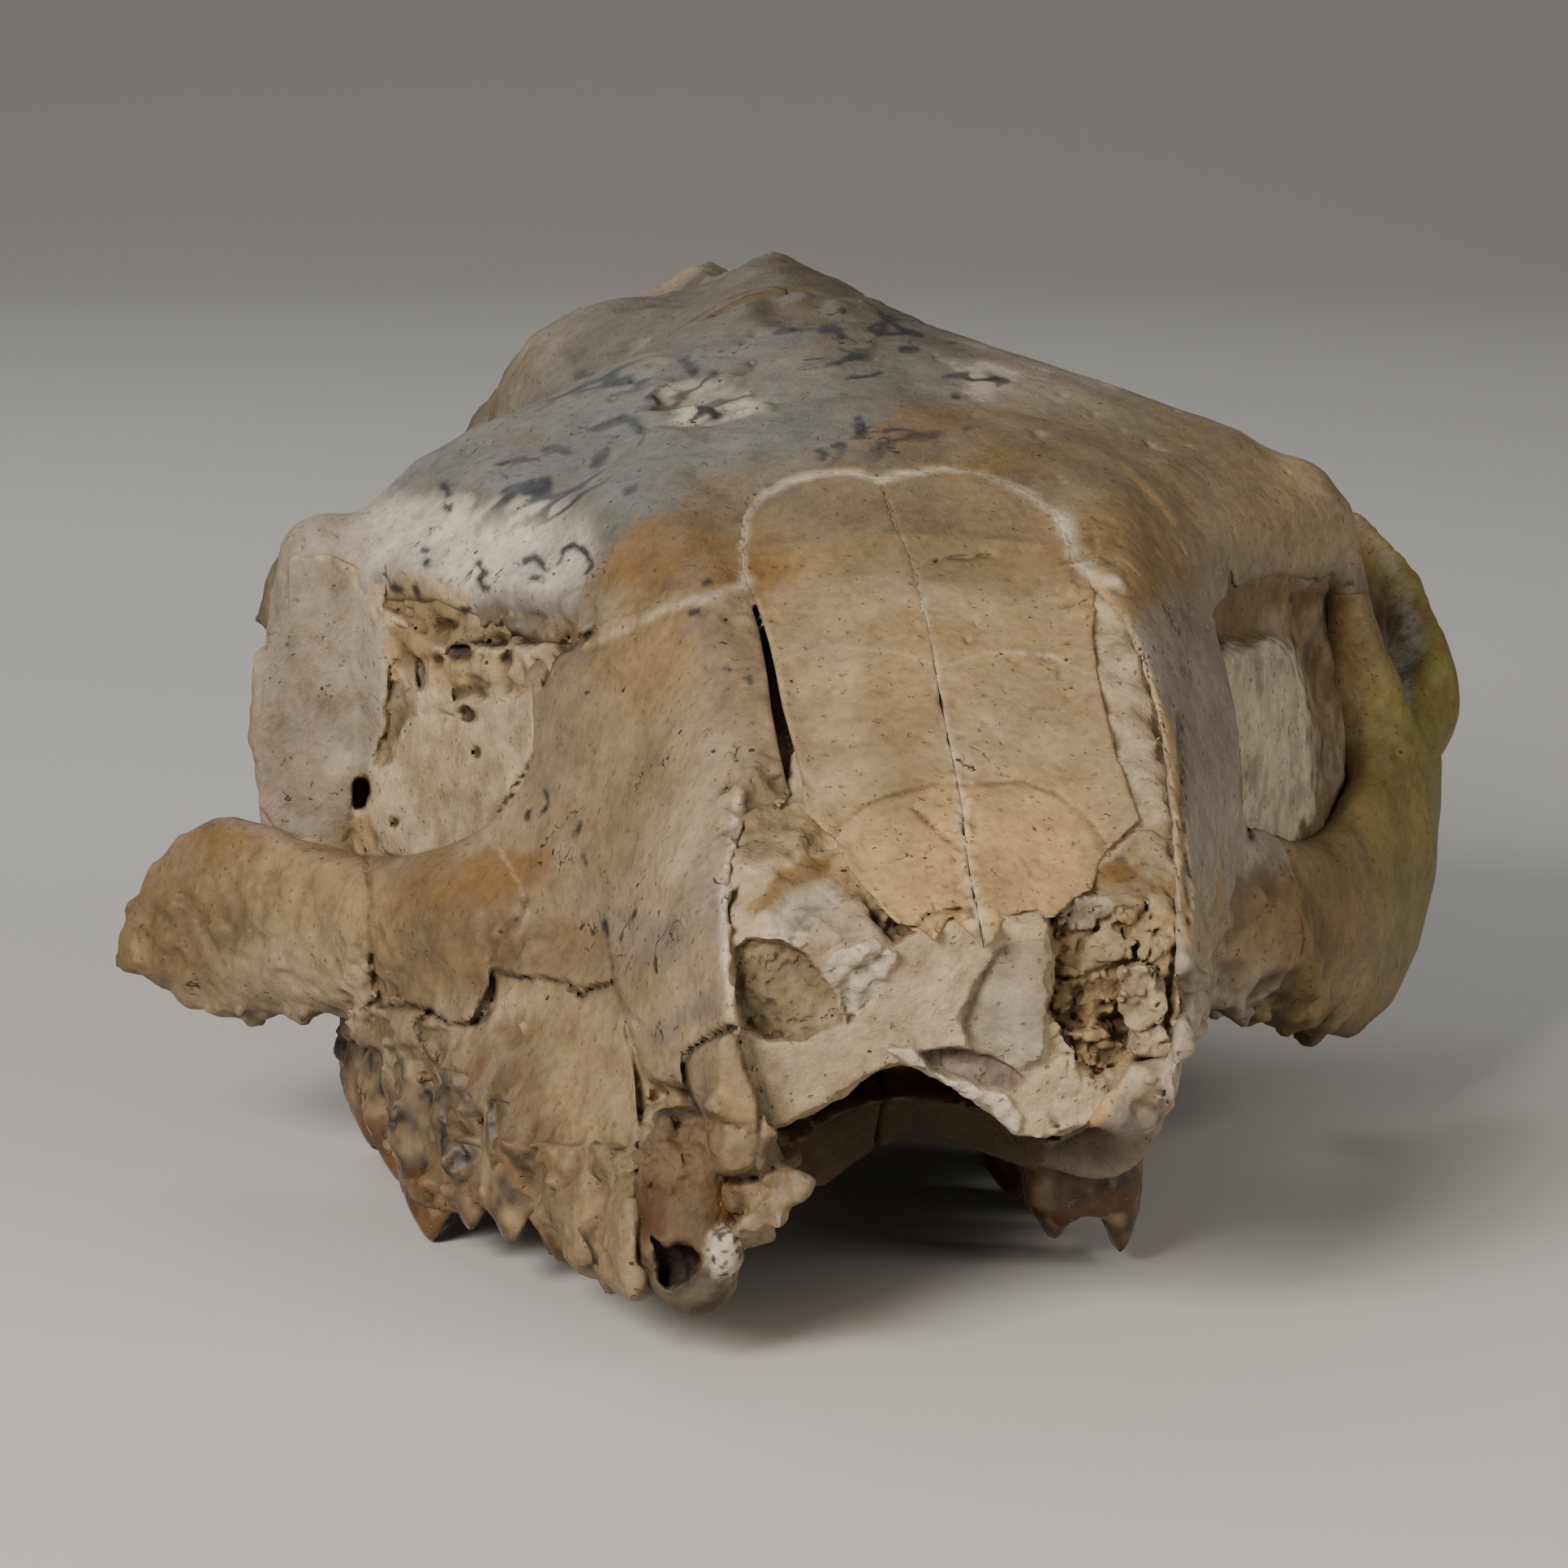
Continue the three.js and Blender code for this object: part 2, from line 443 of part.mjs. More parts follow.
// Sediment in the nose: it fills the hollow and the lost corners down to an arch, and its
// front is dished.
function noseFill() {
  const inset = NOSE_HOLLOW.map(({ y, outline }) => ({
    y: y - PIECE_GAP,
    outline: outline.map(([x, z]) => {
      const away = new THREE.Vector2(x, z - NOSE_CENTRE_Z);
      away.setLength(away.length() - FILL_INSET);
      return [away.x, away.y + NOSE_CENTRE_Z];
    }),
  }));
  const corners = LOST_CORNERS.map((corner) =>
    limb(corner.map(([x, y, z, a, b]) => [x, y, z, a - PIECE_GAP, b - PIECE_GAP]), 3, 8));
  return joined([faceLoft(inset, 5, 1), ...corners])
    .intersect(faceLoft(FACE, 11))
    .subtract(limb(FILL_ARCH, 4, 12))
    .subtract(egg([FRONT_OF_FILL.x, FRONT_OF_FILL.y, FRONT_OF_FILL.z], FRONT_OF_FILL.half, 18));
}

// Sediment in an orbit, on the left (1) or the right (-1). Growing it gives its seat, which
// keeps the whole egg.
function orbitFill(side, grow) {
  const { x, y, z, half } = ORBIT_FILL;
  const whole = egg([side * x, y, z], half.map((size) => size + grow), 12);
  return whole.subtract(orbitTrim(side, grow));
}

function orbitTrim(side, grow) {
  const { front, leftBack, rightBack, thick } = ORBIT_TRIM;
  const back = side > 0 ? leftBack : rightBack;
  const run = new THREE.Vector2(back[0] - front[0], back[1] - front[1]);
  const length = run.length() * 2;
  const slab = new THREE.BoxGeometry(thick, length, 60);
  slab.translate(thick / 2 + grow, 0, 0);
  slab.rotateZ(-Math.atan2(run.x, run.y));
  slab.translate((front[0] + back[0]) / 2, (front[1] + back[1]) / 2, ORBIT_FILL.z);
  if (side < 0) slab.scale(-1, 1, 1);
  return solid(slab);
}

// Materials: old bone, cream sediment, and the brown glaze of the teeth

const finish = (color, roughness) => new THREE.MeshStandardMaterial({ color, roughness, metalness: 0 });
const BONE = finish(0xa08a6c, 0.7);
const SEDIMENT = finish(0xbdb197, 0.9);
const GLAZE = finish(0x6a4a2c, 0.35);
const CRUSTED = finish(0xa89877, 0.75);

// The assembled skull

const group = new THREE.Group();

function addPiece(name, shape, material) {
  const { vertProperties, triVerts } = shape.getMesh();
  const geometry = new THREE.BufferGeometry();
  geometry.setAttribute("position", new THREE.BufferAttribute(new Float32Array(vertProperties), 3));
  geometry.setIndex(new THREE.BufferAttribute(new Uint32Array(triVerts), 1));
  geometry.computeVertexNormals();
  const mesh = new THREE.Mesh(geometry, material);
  mesh.name = name;
  group.add(mesh);
}

addPiece("cranium", cranium(), BONE);
addPiece("nasal_matrix", noseFill(), SEDIMENT);
addPiece("right_orbit_matrix", orbitFill(-1, 0), SEDIMENT);
addPiece("left_orbit_matrix", orbitFill(1, 0), SEDIMENT);
addPiece("right_canine", limb(CANINE, 4, 10, BACKWARD), CRUSTED);
for (const shape of TEETH)
  addPiece(shape.name, tooth(shape).subtract(belowGround()), shape.colour === "pale" ? CRUSTED : GLAZE);

const box = new THREE.Box3().setFromObject(group);
group.position.set(-(box.min.x + box.max.x) / 2, -(box.min.y + box.max.y) / 2, -box.min.z);

export default group;
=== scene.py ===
# %% [markdown]
# # A fossil oreodont skull
# This is the skull of an extinct hoofed animal, without its lower jaw. Its snout is broken off,
# hard sediment fills the nose and the orbits, and the right cheek arch is snapped. The packed
# model holds the plain solids. Here each bone gets its real surface: sutures, cracks, pits,
# crumbled edges and the colours of old mineralised bone.
# The numbers below are millimetres in the frame the skull was drawn in: y = 0 at the broken
# nasal tips, z = 0 at the ground, +x towards the skull's own left side.

# %% Load the frame
import math
import time
from concurrent.futures import ThreadPoolExecutor
import bpy
import numpy as np
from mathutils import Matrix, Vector


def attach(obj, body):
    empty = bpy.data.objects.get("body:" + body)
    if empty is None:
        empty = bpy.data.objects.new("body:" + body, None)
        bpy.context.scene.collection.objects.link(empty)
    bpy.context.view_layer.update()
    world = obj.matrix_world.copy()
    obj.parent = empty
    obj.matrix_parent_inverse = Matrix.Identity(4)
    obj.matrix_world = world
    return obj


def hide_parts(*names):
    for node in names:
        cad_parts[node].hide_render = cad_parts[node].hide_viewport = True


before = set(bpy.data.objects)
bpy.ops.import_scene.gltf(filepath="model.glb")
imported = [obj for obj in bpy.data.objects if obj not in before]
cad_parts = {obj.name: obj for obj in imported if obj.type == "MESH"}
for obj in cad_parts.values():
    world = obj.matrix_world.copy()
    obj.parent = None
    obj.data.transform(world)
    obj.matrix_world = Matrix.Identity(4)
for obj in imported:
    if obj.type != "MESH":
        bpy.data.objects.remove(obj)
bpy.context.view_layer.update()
started = time.time()
MM = 0.001
SHIFT = np.array([0.262, -89.25, 0.0])

# %% [markdown]
# ## Camera and stage
# The skull is seen from in front, a little from its right and from above, with a long lens.
# Here it stands on a plain pale sweep: a floor that curves up behind it, so that no
# edge shows. The floor is one surface, a profile in y and z drawn out along x.

# %% Camera
CAMERA_TURN, CAMERA_DROP = math.radians(7.8), math.radians(9.6)
CAMERA_PLACE = np.array([-95.8, -581.8, 149.8])
LENS = 9000.0
SHEET = 1932.0
look = np.array([math.sin(CAMERA_TURN) * math.cos(CAMERA_DROP),
                 math.cos(CAMERA_TURN) * math.cos(CAMERA_DROP), -math.sin(CAMERA_DROP)])
camera = bpy.data.objects.new("camera", bpy.data.cameras.new("camera"))
bpy.context.scene.collection.objects.link(camera)
camera.data.sensor_width = 36.0
camera.data.lens = 36.0 * LENS / SHEET
camera.location = Vector((CAMERA_PLACE + SHIFT) * MM)
camera.rotation_euler = Vector(look).to_track_quat("-Z", "Y").to_euler()
camera.data.clip_start, camera.data.clip_end = 0.05, 20.0
bpy.context.scene.camera = camera
print("lens", round(camera.data.lens, 1), "mm")

# %% A helper that puts points and faces into a mesh
def make_mesh(name, points_mm, faces):
    """A mesh from an array of points (in millimetres, drawing frame) and one of faces, put in as
    whole arrays. Faces are rows of three or four point numbers."""
    mesh = bpy.data.meshes.new(name)
    points = (np.asarray(points_mm, float) + SHIFT) * MM
    faces = np.asarray(faces, np.int32)
    sides = faces.shape[1]
    mesh.vertices.add(len(points))
    mesh.vertices.foreach_set("co", points.astype(np.float32).ravel())
    mesh.loops.add(faces.size)
    mesh.loops.foreach_set("vertex_index", faces.ravel())
    mesh.polygons.add(len(faces))
    mesh.polygons.foreach_set("loop_start", np.arange(0, faces.size, sides, dtype=np.int32))
    mesh.polygons.foreach_set("use_smooth", np.ones(len(faces), bool))
    mesh.update(calc_edges=True)
    mesh.validate()
    piece = bpy.data.objects.new(name, mesh)
    bpy.context.scene.collection.objects.link(piece)
    return piece


def grid_faces(rows, columns):
    """The four-sided faces of a grid of rows by columns points."""
    first = (np.arange(rows - 1)[:, None] * columns + np.arange(columns - 1)[None]).ravel()
    return np.stack([first, first + 1, first + columns + 1, first + columns], axis=1)


# %% The floor
def sweep_surface(across=41, along=90):
    """Profile: flat floor, then a quarter circle of radius 900 mm, then a wall. It is drawn out
    along x over 6 metres."""
    flat = np.stack([np.linspace(-2600, 900, 30), np.zeros(30)], 1)
    turn = np.linspace(0, np.pi / 2, 41)[1:]
    curve = np.stack([900 + 900 * np.sin(turn), 900 - 900 * np.cos(turn)], 1)
    wall = np.stack([np.full(20, 1800.0), np.linspace(1000, 3200, 20)], 1)
    profile = np.vstack([flat, curve, wall])
    x = np.linspace(-3000, 3000, across)
    points = np.empty((len(profile), across, 3))
    points[..., 0] = x
    points[..., 1] = profile[:, 0, None]
    points[..., 2] = profile[:, 1, None]
    return points.reshape(-1, 3), grid_faces(len(profile), across)


floor = make_mesh("floor", *sweep_surface())
floor_finish = bpy.data.materials.new("floor_finish")
floor_finish.use_nodes = True
floor_shader = floor_finish.node_tree.nodes["Principled BSDF"]
floor_shader.inputs["Base Color"].default_value = (0.50, 0.48, 0.45, 1)
floor_shader.inputs["Roughness"].default_value = 0.9
floor.data.materials.append(floor_finish)
print("floor", len(floor.data.vertices), "points")

# %% [markdown]
# ## Light
# One large soft lamp stands up and to the left in front of the skull, as in the photograph:
# the snout is the brightest part and the underside falls into shadow. A weak lamp on the
# right opens the shadows, and a dim sky fills the rest.

# %% Lamps
def soft_lamp(name, place_mm, aim_mm, size, power, colour):
    """A square lamp of a given side in metres, turned towards a point."""
    data = bpy.data.lights.new(name, "AREA")
    data.size = size
    data.energy = power
    data.color = colour
    lamp = bpy.data.objects.new(name, data)
    bpy.context.scene.collection.objects.link(lamp)
    place = Vector((np.array(place_mm) + SHIFT) * MM)
    aim = Vector((np.array(aim_mm) + SHIFT) * MM)
    lamp.location = place
    lamp.rotation_euler = (aim - place).to_track_quat("-Z", "Y").to_euler()
    return lamp


soft_lamp("key_lamp", (-500, -600, 450), (0, 60, 40), 0.36, 14.0, (1.0, 0.96, 0.89))
soft_lamp("side_lamp", (600, -420, 300), (20, 70, 40), 0.5, 3.2, (1.0, 0.97, 0.88))
soft_lamp("back_lamp", (-200, 620, 560), (0, 90, 60), 0.5, 1.8, (0.94, 0.97, 1.0))
sky = bpy.data.worlds.new("sky")
sky.use_nodes = True
sky.node_tree.nodes["Background"].inputs["Color"].default_value = (0.93, 0.94, 1.0, 1)
sky.node_tree.nodes["Background"].inputs["Strength"].default_value = 0.15
bpy.context.scene.world = sky

# %% [markdown]
# ## How a bone is shaped here
# A skull is a knot of plates, bars and bulges that grow into each other, so no single sheet
# follows it. It could be sculpted by hand, or welded from many lofts with a remesh. Here each
# form is a function of place: a number that is below zero inside the bone and rises by one for
# each millimetre outwards. Such functions join smoothly by a soft minimum, cut by a maximum,
# and any crack or dent is one more term. A net of points is then drawn over the zero surface.
# Two kinds of form do most of the work. A bar is a rounded section carried along a path, and
# a loft is a radius that depends on two parameters, the angle round a centre line and the
# place along it.

# %% Curves and soft joins


def curve_through(points, steps, closed=False):
    """A smooth curve (Catmull-Rom): each sample mixes the four nearest points by cubic weights."""
    pts = np.asarray(points, float)
    if closed:
        ext = np.vstack([pts[-1], pts, pts[0], pts[1]])
        t = np.linspace(0, len(pts), steps, endpoint=False)
        k = t.astype(int)
    else:
        ext = np.vstack([2 * pts[0] - pts[1], pts, 2 * pts[-1] - pts[-2]])
        t = np.linspace(0, len(pts) - 1, steps + 1)
        k = np.minimum(t.astype(int), len(pts) - 2)
    u = (t - k)[:, None]
    a, b, c, d = ext[k], ext[k + 1], ext[k + 2], ext[k + 3]
    return 0.5 * (2 * b + (c - a) * u + (2 * a - 5 * b + 4 * c - d) * u ** 2
                  + (3 * b - a - 3 * c + d) * u ** 3)


def soft_join(a, b, width):
    """The lower of two fields, with a fillet of about the given width where they meet."""
    h = np.clip(0.5 + 0.5 * (b - a) / width, 0, 1)
    return b * (1 - h) + a * h - width * h * (1 - h)


def soft_cut(a, b, width):
    """Field a with the inside of field b taken away, the edge rounded by about the width."""
    return -soft_join(-a, b, width)


def smooth_step(low, high, v):
    """Rises from 0 at low to 1 at high along an S."""
    t = np.clip((v - low) / (high - low), 0, 1)
    return t * t * (3 - 2 * t)


# %% Grain: seeded noise as a function of place
RANDOM_HEIGHTS = np.random.default_rng(33).random(65536).astype(np.float32)


def grain(p, size, seed=0):
    """Value noise, from -1 to 1: random heights at the corners of a lattice of cubes with sides of
    the given size, mixed by S-shaped weights of the place inside the cube."""
    q = p / size + seed * 13.7
    cell = np.floor(q).astype(np.int64)
    f = q - cell
    w = f * f * (3 - 2 * f)
    total = np.zeros(len(p))
    for dx in (0, 1):
        for dy in (0, 1):
            for dz in (0, 1):
                key = ((cell[:, 0] + dx) * 73856093 ^ (cell[:, 1] + dy) * 19349663
                       ^ (cell[:, 2] + dz) * 83492791) & 65535
                weight = (np.abs(1 - dx - w[:, 0]) * np.abs(1 - dy - w[:, 1])
                          * np.abs(1 - dz - w[:, 2]))
                total += weight * RANDOM_HEIGHTS[key]
    return total * 2 - 1


def rough(p, size, octaves, seed=0):
    """Grain at several sizes, each half the size and half the height of the last."""
    return sum(grain(p, size / 2 ** k, seed + k) / 2 ** k for k in range(octaves))


# %% A bar: a rounded section carried along a path
UP = np.array([0.0, 0.0, 1.0])
BACK = np.array([0.0, 1.0, 0.0])


def bar_field(p, stations, up=UP, steps=14):
    """Distance to a bar. A point is measured from the nearest piece of the path. Its offset along
    the section's two half sizes gives a share q, and the distance is the offset's length less
    that length over q."""
    path = curve_through(stations, steps)
    best = np.full(len(p), 1e3)
    for a, b in zip(path[:-1], path[1:]):
        run = b[:3] - a[:3]
        length = np.linalg.norm(run)
        forward = run / length
        side = np.cross(forward, up)
        side /= np.linalg.norm(side)
        rise = np.cross(side, forward)
        t = np.clip((p - a[:3]) @ run / length ** 2, 0, 1)
        off = p - a[:3] - t[:, None] * run
        half = np.maximum(a[3:5] + t[:, None] * (b[3:5] - a[3:5]), 0.3)
        q = np.sqrt((off @ side / half[:, 0]) ** 2 + (off @ rise / half[:, 1]) ** 2
                    + (off @ forward / half.min(1)) ** 2)
        d = np.sqrt((off ** 2).sum(1))
        best = np.minimum(best, d - d / np.maximum(q, 1e-4))
    return best


def egg_field(p, centre, half):
    """Distance to an ellipsoid, by the same share q of its half sizes."""
    off = p - np.array(centre, float)
    q = np.sqrt(((off / np.array(half, float)) ** 2).sum(1))
    d = np.sqrt((off ** 2).sum(1))
    return d - d / np.maximum(q, 1e-4)


# %% A loft: a radius for each angle and each place along y
def make_loft(stations, centre, angles=180, rows=120):
    """Turns outlines at places along y into a table of radii. Each outline is a closed curve in x
    and z; the radius is measured from the centre line, and is smooth from outline to outline."""
    turn = np.linspace(-np.pi, np.pi, angles, endpoint=False)
    radii = []
    for (y, outline), (cx, cz) in zip(stations, centre):
        ring = curve_through(outline, 360, closed=True) - (cx, cz)
        angle = np.arctan2(ring[:, 1], ring[:, 0])
        order = np.argsort(angle)
        radii.append(np.interp(turn, angle[order], np.hypot(*ring.T)[order], period=2 * np.pi))
    lines = np.hstack([[[y] for y, _ in stations], centre, radii])
    dense = curve_through(lines, 400)
    dense[:, 0] = np.maximum.accumulate(dense[:, 0] + np.arange(401) * 1e-6)
    y = np.linspace(dense[0, 0], dense[-1, 0], rows)
    table = np.stack([np.interp(y, dense[:, 0], dense[:, k]) for k in range(1, dense.shape[1])], 1)
    radius = table[:, 2:]
    along_y = np.gradient(radius, y, axis=0)
    round_it = (np.roll(radius, -1, 1) - np.roll(radius, 1, 1)) / (4 * np.pi / angles) / radius
    steep = np.sqrt(1 + along_y ** 2 + round_it ** 2)
    return {"y": y, "centre": table[:, :2], "radius": radius, "steep": steep}


def loft_field(p, loft):
    """Distance to a loft: radius of the point less the loft's radius at its angle and its y,
    divided by how steep the loft is there. Beyond the ends it is the distance past the end."""
    y, radius = loft["y"], loft["radius"]
    rows, angles = radius.shape
    row = np.clip((p[:, 1] - y[0]) / (y[-1] - y[0]) * (rows - 1), 0, rows - 1.001)
    r0 = row.astype(int)
    fr = row - r0
    centre = loft["centre"][r0] * (1 - fr)[:, None] + loft["centre"][r0 + 1] * fr[:, None]
    dx, dz = p[:, 0] - centre[:, 0], p[:, 2] - centre[:, 1]
    turn = (np.arctan2(dz, dx) + np.pi) / (2 * np.pi) * angles
    a0 = turn.astype(int) % angles
    a1 = (a0 + 1) % angles
    fa = turn - np.floor(turn)

    def read(table):
        low = table[r0, a0] * (1 - fa) + table[r0, a1] * fa
        high = table[r0 + 1, a0] * (1 - fa) + table[r0 + 1, a1] * fa
        return low * (1 - fr) + high * fr

    side = (np.hypot(dx, dz) - read(radius)) / read(loft["steep"])
    return np.maximum(side, np.maximum(y[0] - p[:, 1], p[:, 1] - y[-1]))


# %% Drawing a net over a field
def grid_nodes(low, high, step):
    """The number of grid points along each side, in whole blocks of four cells."""
    return (np.ceil((np.array(high) - low) / step / 4).astype(int) * 4 + 1)


def sample_field(field, low, high, step):
    """The field's values on a grid. It is read at every fourth point first, and on the full grid
    only in the blocks whose corners are near the surface."""
    low = np.array(low, float)
    n = grid_nodes(low, high, step)
    axes = [low[k] + np.arange(n[k]) * step for k in range(3)]
    coarse = np.stack(np.meshgrid(*[a[::4] for a in axes], indexing="ij"), -1).reshape(-1, 3)
    far = field(coarse).reshape([len(a[::4]) for a in axes])
    near = np.abs(far)
    corner = near[:-1, :-1, :-1].copy()
    for dx in (0, 1):
        for dy in (0, 1):
            for dz in (0, 1):
                block = near[dx:near.shape[0] - 1 + dx, dy:near.shape[1] - 1 + dy,
                             dz:near.shape[2] - 1 + dz]
                corner = np.minimum(corner, block)
    active = corner < 7.6 * step
    values = np.repeat(np.repeat(np.repeat(far, 4, 0), 4, 1), 4, 2)[:n[0], :n[1], :n[2]].copy()
    wanted = np.zeros(n, bool)
    for dx in range(5):
        for dy in range(5):
            for dz in range(5):
                part = wanted[dx:n[0] - 4 + dx:4, dy:n[1] - 4 + dy:4, dz:n[2] - 4 + dz:4]
                part |= active
    spots = np.argwhere(wanted)
    out = np.empty(len(spots))
    parts = np.array_split(np.arange(len(spots)), max(4, len(spots) // 120000))
    with ThreadPoolExecutor(4) as pool:
        for part, found in zip(parts, pool.map(lambda k: field(low + spots[k] * step), parts)):
            out[part] = found
    values[wanted] = out
    values[[0, -1]] = np.maximum(values[[0, -1]], 0.01)
    values[:, [0, -1]] = np.maximum(values[:, [0, -1]], 0.01)
    values[:, :, [0, -1]] = np.maximum(values[:, :, [0, -1]], 0.01)
    return values


def surface_net(values, low, step):
    """A closed net of four-sided faces over the zero surface. Each cell that the surface crosses
    gets one point, the mean of the crossings on its twelve edges. Each grid edge that the
    surface crosses joins the points of the four cells round it."""
    inside = values < 0
    n = np.array(values.shape)
    count = np.zeros(n - 1, np.int8)
    for dx in (0, 1):
        for dy in (0, 1):
            for dz in (0, 1):
                count += inside[dx:n[0] - 1 + dx, dy:n[1] - 1 + dy, dz:n[2] - 1 + dz]
    cells = np.argwhere((count > 0) & (count < 8))
    number = np.full(n - 1, -1, np.int32)
    number[tuple(cells.T)] = np.arange(len(cells))
    total = np.zeros((len(cells), 3))
    hits = np.zeros(len(cells))
    for axis in range(3):
        others = [k for k in range(3) if k != axis]
        for a in (0, 1):
            for b in (0, 1):
                start = cells.copy()
                start[:, others[0]] += a
                start[:, others[1]] += b
                end = start.copy()
                end[:, axis] += 1
                v0, v1 = values[tuple(start.T)], values[tuple(end.T)]
                cross = (v0 < 0) != (v1 < 0)
                t = np.where(cross, v0 / np.where(cross, v0 - v1, 1), 0)
                place = (start - cells).astype(float)
                place[:, axis] += t
                total += np.where(cross[:, None], place, 0)
                hits += cross
    points = np.array(low, float) + (cells + total / hits[:, None]) * step
    faces = []
    for axis in range(3):
        b, c = (axis + 1) % 3, (axis + 2) % 3
        first = [slice(None)] * 3
        first[axis] = slice(0, n[axis] - 1)
        second = list(first)
        second[axis] = slice(1, n[axis])
        start_in = inside[tuple(first)]
        crossing = np.argwhere(start_in != inside[tuple(second)])
        ok = ((crossing[:, b] > 0) & (crossing[:, c] > 0)
              & (crossing[:, b] < n[b] - 1) & (crossing[:, c] < n[c] - 1))
        crossing = crossing[ok]
        corners = []
        for db, dc in ((-1, -1), (0, -1), (0, 0), (-1, 0)):
            cell = crossing.copy()
            cell[:, b] += db
            cell[:, c] += dc
            corners.append(number[tuple(cell.T)])
        face = np.stack(corners, 1)
        outwards = start_in[tuple(crossing.T)]
        face[~outwards] = face[~outwards][:, ::-1]
        faces.append(face)
    return points, np.vstack(faces)


# %% Keep the largest shell only
def largest_shell(points, faces):
    """Drops loose crumbs: each point takes the lowest number among its neighbours again and again,
    so a shell ends with one number, and the shell with the most points stays."""
    label = np.arange(len(points))
    pairs = np.vstack([faces[:, [0, 1]], faces[:, [1, 2]], faces[:, [2, 3]], faces[:, [3, 0]]])
    while True:
        low = np.minimum(label[pairs[:, 0]], label[pairs[:, 1]])
        new = label.copy()
        np.minimum.at(new, pairs[:, 0], low)
        np.minimum.at(new, pairs[:, 1], low)
        new = new[new]
        if np.array_equal(new, label):
            break
        label = new
    keep = label == np.bincount(label).argmax()
    renumber = np.cumsum(keep) - 1
    return points[keep], renumber[faces[keep[faces[:, 0]]]]

# %% [markdown]
# ## The skull's forms
# These are the same stations that the plain solid is made from: outlines of the muzzle, a
# lens for the forehead, the braincase, and bars for the arches, crests and processes. With
# them the fine surface lies where the solid lies, and only its detail is new.

# %% Muzzle
FACE_OUTLINES = [
    (0, [(0, 37.4), (10, 36.6), (17.6, 35), (18.4, 28), (17.4, 20), (12, 17),
         (-1, 17), (-14, 14), (-20.5, 14), (-21, 26), (-19.4, 35), (-10, 36.6)]),
    (10, [(0, 42.9), (10, 42), (18.9, 41.4), (19.8, 31), (18.6, 18), (12, 14),
          (-1, 15), (-14, 10.5), (-24.5, 10), (-23.2, 27), (-19.6, 41.5), (-10, 41.8)]),
    (18, [(0, 47.6), (10, 46.8), (19.6, 46.8), (21.4, 33), (19.4, 15), (11.5, 12),
          (-1, 13.6), (-13, 8.6), (-28, 9), (-26, 27), (-19, 46.2), (-10, 46.4)]),
    (30, [(0, 54.6), (10, 53.7), (19.8, 53.8), (25.4, 36), (20.4, 13), (11.5, 11),
          (-1, 13.6), (-13, 8.4), (-32, 9.5), (-29.5, 29), (-18.5, 53), (-10, 53.2)]),
    (42, [(0, 61.4), (11, 60.6), (21, 60), (29, 38), (21.4, 13), (11.5, 10.5),
          (-3, 14.6), (-16, 8.8), (-36.5, 11), (-33.5, 30), (-20.5, 58.8), (-11, 60.2)]),
    (54, [(0, 66.8), (12, 66.2), (23.5, 64), (33.2, 40), (22, 13.5), (11, 10.5),
          (-6, 15.6), (-22, 9.5), (-40, 12), (-37, 31), (-24, 62.4), (-12, 65.8)]),
    (66, [(0, 70.2), (13, 69.4), (26, 65), (33, 42), (23, 14), (11.5, 10.5),
          (-8, 16.2), (-26, 10), (-42.5, 12.5), (-37.5, 33), (-26, 63.5), (-13, 69)]),
    (75, [(0, 72), (12, 71), (22, 66), (24, 42), (23, 16), (11.5, 12),
          (-8, 17), (-26, 12), (-39, 15), (-28, 36), (-22, 65), (-12, 70.5)]),
]
face_loft = make_loft(FACE_OUTLINES, [(-1, 26), (-1, 29), (-2, 31), (-2, 33), (-3, 35),
                                      (-4, 38), (-5, 40), (-5, 41)])
print("muzzle table", face_loft["radius"].shape)

# %% Forehead
FOREHEAD = np.array([
    [47, 21, 63.6, 60, 58.5, 12], [58, 27.5, 67.8, 63, 61, 9], [70, 34.5, 71.2, 63.6, 60.5, 7],
    [82, 42.5, 73.6, 63.2, 59.5, 6], [91, 49.5, 75.2, 62.2, 58.5, 6], [97, 50, 76.4, 62, 58.5, 6],
    [103, 41, 77.5, 64.5, 61.5, 7], [111, 27, 79, 68.5, 66, 9], [119, 16, 79.8, 73, 71, 10],
    [130, 9, 79.6, 75, 74, 10]])
forehead_lines = curve_through(FOREHEAD, 200)


def forehead_heights(p):
    """Roof and underside of the forehead as functions of x and y. With s, the distance from the
    midline in shares of the half width, the roof falls from the midline to the rim along
    a curve in s, and the underside rises from 20 mm below the roof to meet it at the rim."""
    half, top, left, right, deep = [np.interp(p[:, 1], forehead_lines[:, 0], forehead_lines[:, k])
                                    for k in range(1, 6)]
    rim = np.where(p[:, 0] > 0, left, right)
    half = half - 2.8 * (p[:, 0] < 0) * smooth_step(74, 90, p[:, 1])
    s = np.abs(p[:, 0]) / half
    fall = np.interp(s, [0, 0.2, 0.42, 0.6, 0.8, 1.0], [0, 0.05, 0.2, 0.37, 0.62, 1.0])
    roof = top - (top - rim) * fall - 0.35 * deep * smooth_step(0.78, 1.0, s)
    lift = smooth_step(0.3, 0.9, s)
    under = (top - 20 + 3 * s) * (1 - lift) + (rim - deep - 3) * lift
    return roof, np.minimum(under, roof), np.abs(p[:, 0]) - half


def forehead_field(p):
    """Distance to the lens between the two height surfaces."""
    roof, under, outside = forehead_heights(p)
    body = -soft_join(-(p[:, 2] - roof) / 1.08, -(under - p[:, 2]) / 1.08, 1.6)
    body = -soft_join(-body, -outside, 2.0)
    return np.maximum(body, np.maximum(47 - p[:, 1], p[:, 1] - 130))


